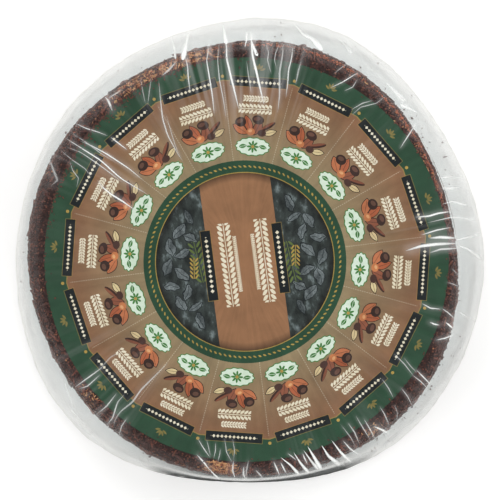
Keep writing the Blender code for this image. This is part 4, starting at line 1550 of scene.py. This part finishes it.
class CHEESE_OT_film(bpy.types.Operator):
    """Make the clear film: its cover over the top and side, and its base under the wheel"""

    bl_idname = "cheese.film"
    bl_label = "Clear film"

    def execute(self, context):
        look = context.scene.cheese_film
        angle = np.arange(FILM_COLUMNS) * 2 * math.pi / FILM_COLUMNS
        rows = film_rows()
        zone, shares = np.array(rows).T
        radius, height = np.stack([film_row(angle, *row) for row in rows], axis=1)
        points = round_axis(AXIS, radius, angle, height)
        out = -grid_normals(points)
        rising = np.where(zone == 2, shares, np.where(zone == 3, 1.0 - shares, 0.0))
        side = smooth_step(np.where(zone >= 2, 0.15 + rising, 0.0) * 2.0)[:, None]
        tall = points * (1.0, 1.0, 0.4)
        crumple = ridged_noise(tall, 17 * MM, 41) - 0.55
        crumple += 0.45 * (ridged_noise(tall, 7 * MM, 42) - 0.55)
        room = np.clip((film_outline(angle) - wheel_outline(angle)) / (14 * MM), 0.2, 1.0)
        swell = 0.25 * MM * (lattice_noise(points, 30 * MM, 44) - 0.5)
        relief = look.crumple * side * crumple * room + swell * (1.0 - side)
        points = points + out * relief[..., None]
        points[..., 2] = np.maximum(points[..., 2], FILM_FLOOR)
        top = (AXIS[0], AXIS[1], FILM_LEVEL)
        material = film_material(look)
        verts, faces = closed_form(points, top)
        cover = new_piece("film_cover", verts, faces, material, "film_skirt")
        # Whiteness of the cover: slight milkiness, the side's milkiness, and painted sheen of the gathered
        # rim and beside the folds
        haze_and_highlight = LEAST_HAZE + veil_and_sheen(angle[None, :], radius) * (1.0 - side) + 0.05 * side + sheen_halos(points)
        slack = np.broadcast_to(0.08 + 0.35 * side, radius.shape)
        # Folded layers and painted shade on the side
        bunch_and_shade = side * bunching_and_shade(points, angle)
        set_attribute(cover, "haze_and_highlight", np.append(haze_and_highlight.ravel(), LEAST_HAZE))
        set_attribute(cover, "slack", np.append(slack.ravel(), 0.08))
        set_attribute(cover, "bunch_and_shade", np.append(bunch_and_shade.ravel(), 0.0))
        cover.data.shade_smooth()
        self.add_base(points[-1], angle, material)
        self.add_folds(points, out, crease_highlight_material(look))
        return {"FINISHED"}

    def add_folds(self, cover, out, material):
        """The folds gathered in the cover, joined in one mesh."""
        points, faces, haze_and_highlight = [], [], []
        # The painted glints are built as folds too
        for fold in FOLDS + PAINTED_GLINTS:
            width, strength, *pixels = fold
            section, white = fold_ridge(pixels, width * MM, fold in PAINTED_GLINTS, cover, out)
            first = sum(len(part) for part in points)
            count, around, _ = section.shape
            points.append(section.reshape(-1, 3))
            faces += ring_faces(count, around, first)[:, ::-1].tolist()
            faces.append((first + np.arange(around)).tolist())
            faces.append((first + (count - 1) * around + np.arange(around))[::-1].tolist())
            # Whiteness of each crest: painted highlight, partly milkiness of doubled film
            haze_and_highlight.append(np.minimum(1.0, FOLD_WHITENESS * strength * white).ravel())
        folds = new_piece("film_folds", np.concatenate(points), faces, material, "film_skirt")
        set_attribute(folds, "haze_and_highlight", np.concatenate(haze_and_highlight))
        folds.data.shade_smooth()
        folds.data.set_sharp_from_angle(angle=math.radians(50))

    def add_base(self, edge, angle, material):
        """The film under the wheel: rings from the cover's edge in to the middle, with low gathered folds."""
        shares = np.linspace(1.0, 0.03, 22)
        middle = np.array((AXIS[0], AXIS[1], FILM_FLOOR))
        points = middle + (edge - middle) * shares[:, None, None]
        ripple = np.abs(np.sin(38 * angle + 2.0 * np.sin(5 * angle))) * smooth_step(shares * 1.2)[:, None]
        points[1:, :, 2] = FILM_FLOOR + 0.35 * MM * (ripple * lattice_noise(points, 30 * MM, 46))[1:]
        verts, faces = closed_form(points, bottom=tuple(middle))
        base = new_piece("film_base", verts, faces, material, "film_skirt")
        set_attribute(base, "haze_and_highlight", np.full(len(verts), 0.05))
        set_attribute(base, "slack", np.full(len(verts), 0.3))
        # Painted shade: the base darkens towards its rim in front
        bunch_and_shade = smooth_step(6.0 * shares - 5.0)[:, None] * turned_from(angle, *FRONT_SHADE)
        set_attribute(base, "bunch_and_shade", np.append(bunch_and_shade.ravel(), 0.0))
        base.data.shade_smooth()


# Stage

# Each light: name, direction in degrees, height in metres and power in watts
LIGHTS = (
    ("key", 115.0, 1.2, 20.0),
    ("fill", 20.0, 1.1, 16.0),
    ("low", -60.0, 1.1, 17.0),
    ("side", -160.0, 1.1, 14.0),
)
LIGHT_DISTANCE = 1.6
FLOOR_HALF = 40.0
SENSOR_WIDTH = 36.0


def add_light(name, place, target, size, power):
    """A soft rectangular light facing a point."""
    data = bpy.data.lights.new(name, "AREA")
    data.shape = "RECTANGLE"
    data.size, data.size_y = size
    data.energy = power
    light = bpy.data.objects.new(name, data)
    bpy.context.scene.collection.objects.link(light)
    light.location = place
    direction = np.array(target) - np.array(place)
    light.rotation_euler = Vector(direction).to_track_quat("-Z", "Y").to_euler()
    light.visible_camera = False
    light.visible_glossy = False
    return light


class CHEESE_OT_stage(bpy.types.Operator):
    """Make the pale floor, the lights and the camera"""

    bl_idname = "cheese.stage"
    bl_label = "Stage"

    def execute(self, context):
        look = context.scene.cheese_stage
        scene = context.scene
        self.add_floor(look)
        world = bpy.data.worlds.new("soft_room")
        scene.world = world
        world.use_nodes = True
        tree = world.node_tree
        direction = add_node(tree, "ShaderNodeTexCoord").outputs["Generated"]
        parts = add_node(tree, "ShaderNodeSeparateXYZ", {0: direction})

        # The room's sides are dimmer in front, and it is dimmest straight above
        walls = add_node(
            tree,
            "ShaderNodeMapRange",
            {0: parts.outputs[1], 1: -0.8, 2: 0.5, 3: look.walls * 0.55, 4: look.walls},
        )
        opening = add_node(
            tree,
            "ShaderNodeMapRange",
            {0: parts.outputs[2], 1: 0.70, 2: 0.93, 3: walls.outputs[0], 4: look.opening},
        )
        tree.nodes["Background"].inputs["Color"].default_value = (1.0, 1.0, 1.0, 1.0)
        tree.links.new(opening.outputs[0], tree.nodes["Background"].inputs["Strength"])
        middle = (0.0, 0.0, 0.05)
        for name, direction, height, power in LIGHTS:
            turn = math.radians(direction)
            place = (LIGHT_DISTANCE * math.cos(turn), LIGHT_DISTANCE * math.sin(turn), height)
            add_light(f"{name}_light", place, middle, (1.5, 0.6), power)
        self.add_camera(scene, look)
        scene.view_settings.view_transform = "Standard"
        return {"FINISHED"}

    def add_floor(self, look):
        """A plain pale floor, wide enough for low views, lit a little from below as a product table is."""
        corners = [(x * FLOOR_HALF, y * FLOOR_HALF, 0.0) for x, y in ((-1, -1), (1, -1), (1, 1), (-1, 1))]
        mesh = bpy.data.meshes.new("floor")
        mesh.from_pydata(corners, [], [(0, 1, 2, 3)])
        material, tree, output = new_material("pale_floor")
        shader = add_node(
            tree,
            "ShaderNodeBsdfPrincipled",
            {
                "Base Color": opaque(look.floor),
                "Roughness": 0.9,
                "Emission Color": opaque(look.floor),
                "Emission Strength": look.glow,
            },
        )
        tree.links.new(shader.outputs[0], output.inputs["Surface"])
        mesh.materials.append(material)
        floor = bpy.data.objects.new("floor", mesh)
        bpy.context.scene.collection.objects.link(floor)

    def add_camera(self, scene, look):
        """A long lens straight above the middle of the footprint, framed as the photograph."""
        data = bpy.data.cameras.new("camera")
        width = PHOTO_PIXELS / PIXELS_PER_MM * MM
        data.sensor_width = SENSOR_WIDTH
        data.lens = SENSOR_WIDTH * (look.distance - WHEEL_HEIGHT) / width
        data.clip_end = 100.0
        camera = bpy.data.objects.new("camera", data)
        scene.collection.objects.link(camera)
        middle = (CAD_BOX[0] + CAD_BOX[1]) / 2
        camera.location = (middle[0], middle[1], look.distance)
        scene.camera = camera


class CHEESE_PT_panel(bpy.types.Panel):
    """The steps, and the sizes and colours they use"""

    bl_label = "Packed cheese"
    bl_idname = "CHEESE_PT_panel"
    bl_space_type = "VIEW_3D"
    bl_region_type = "UI"
    bl_category = "Cheese"

    def draw(self, context):
        for name, look in LOOKS.items():
            box = self.layout.box()
            group = getattr(context.scene, name)
            for key in look.__annotations__:
                box.prop(group, key)
        for step in STEPS:
            self.layout.operator(step.bl_idname)


LOOKS = {
    "cheese_bark": BarkLook,
    "cheese_label": LabelLook,
    "cheese_film": FilmLook,
    "cheese_stage": StageLook,
}
STEPS = (
    CHEESE_OT_stage,
    CHEESE_OT_rind,
    CHEESE_OT_bark,
    CHEESE_OT_dust,
    CHEESE_OT_loose_crumbs,
    CHEESE_OT_label,
    CHEESE_OT_film,
)
CLASSES = (*LOOKS.values(), *STEPS, CHEESE_PT_panel)


def register():
    """Register the classes and hang the settings on the scene."""
    for item in CLASSES:
        bpy.utils.register_class(item)
    for name, look in LOOKS.items():
        setattr(bpy.types.Scene, name, PointerProperty(type=look))


def unregister():
    """Take the settings and the classes away again."""
    for name in LOOKS:
        delattr(bpy.types.Scene, name)
    for item in reversed(CLASSES):
        bpy.utils.unregister_class(item)


def main():
    """Build every piece in order."""
    register()
    for step in STEPS:
        category, name = step.bl_idname.split(".")
        getattr(getattr(bpy.ops, category), name)()


if __name__ == "__main__":
    main()
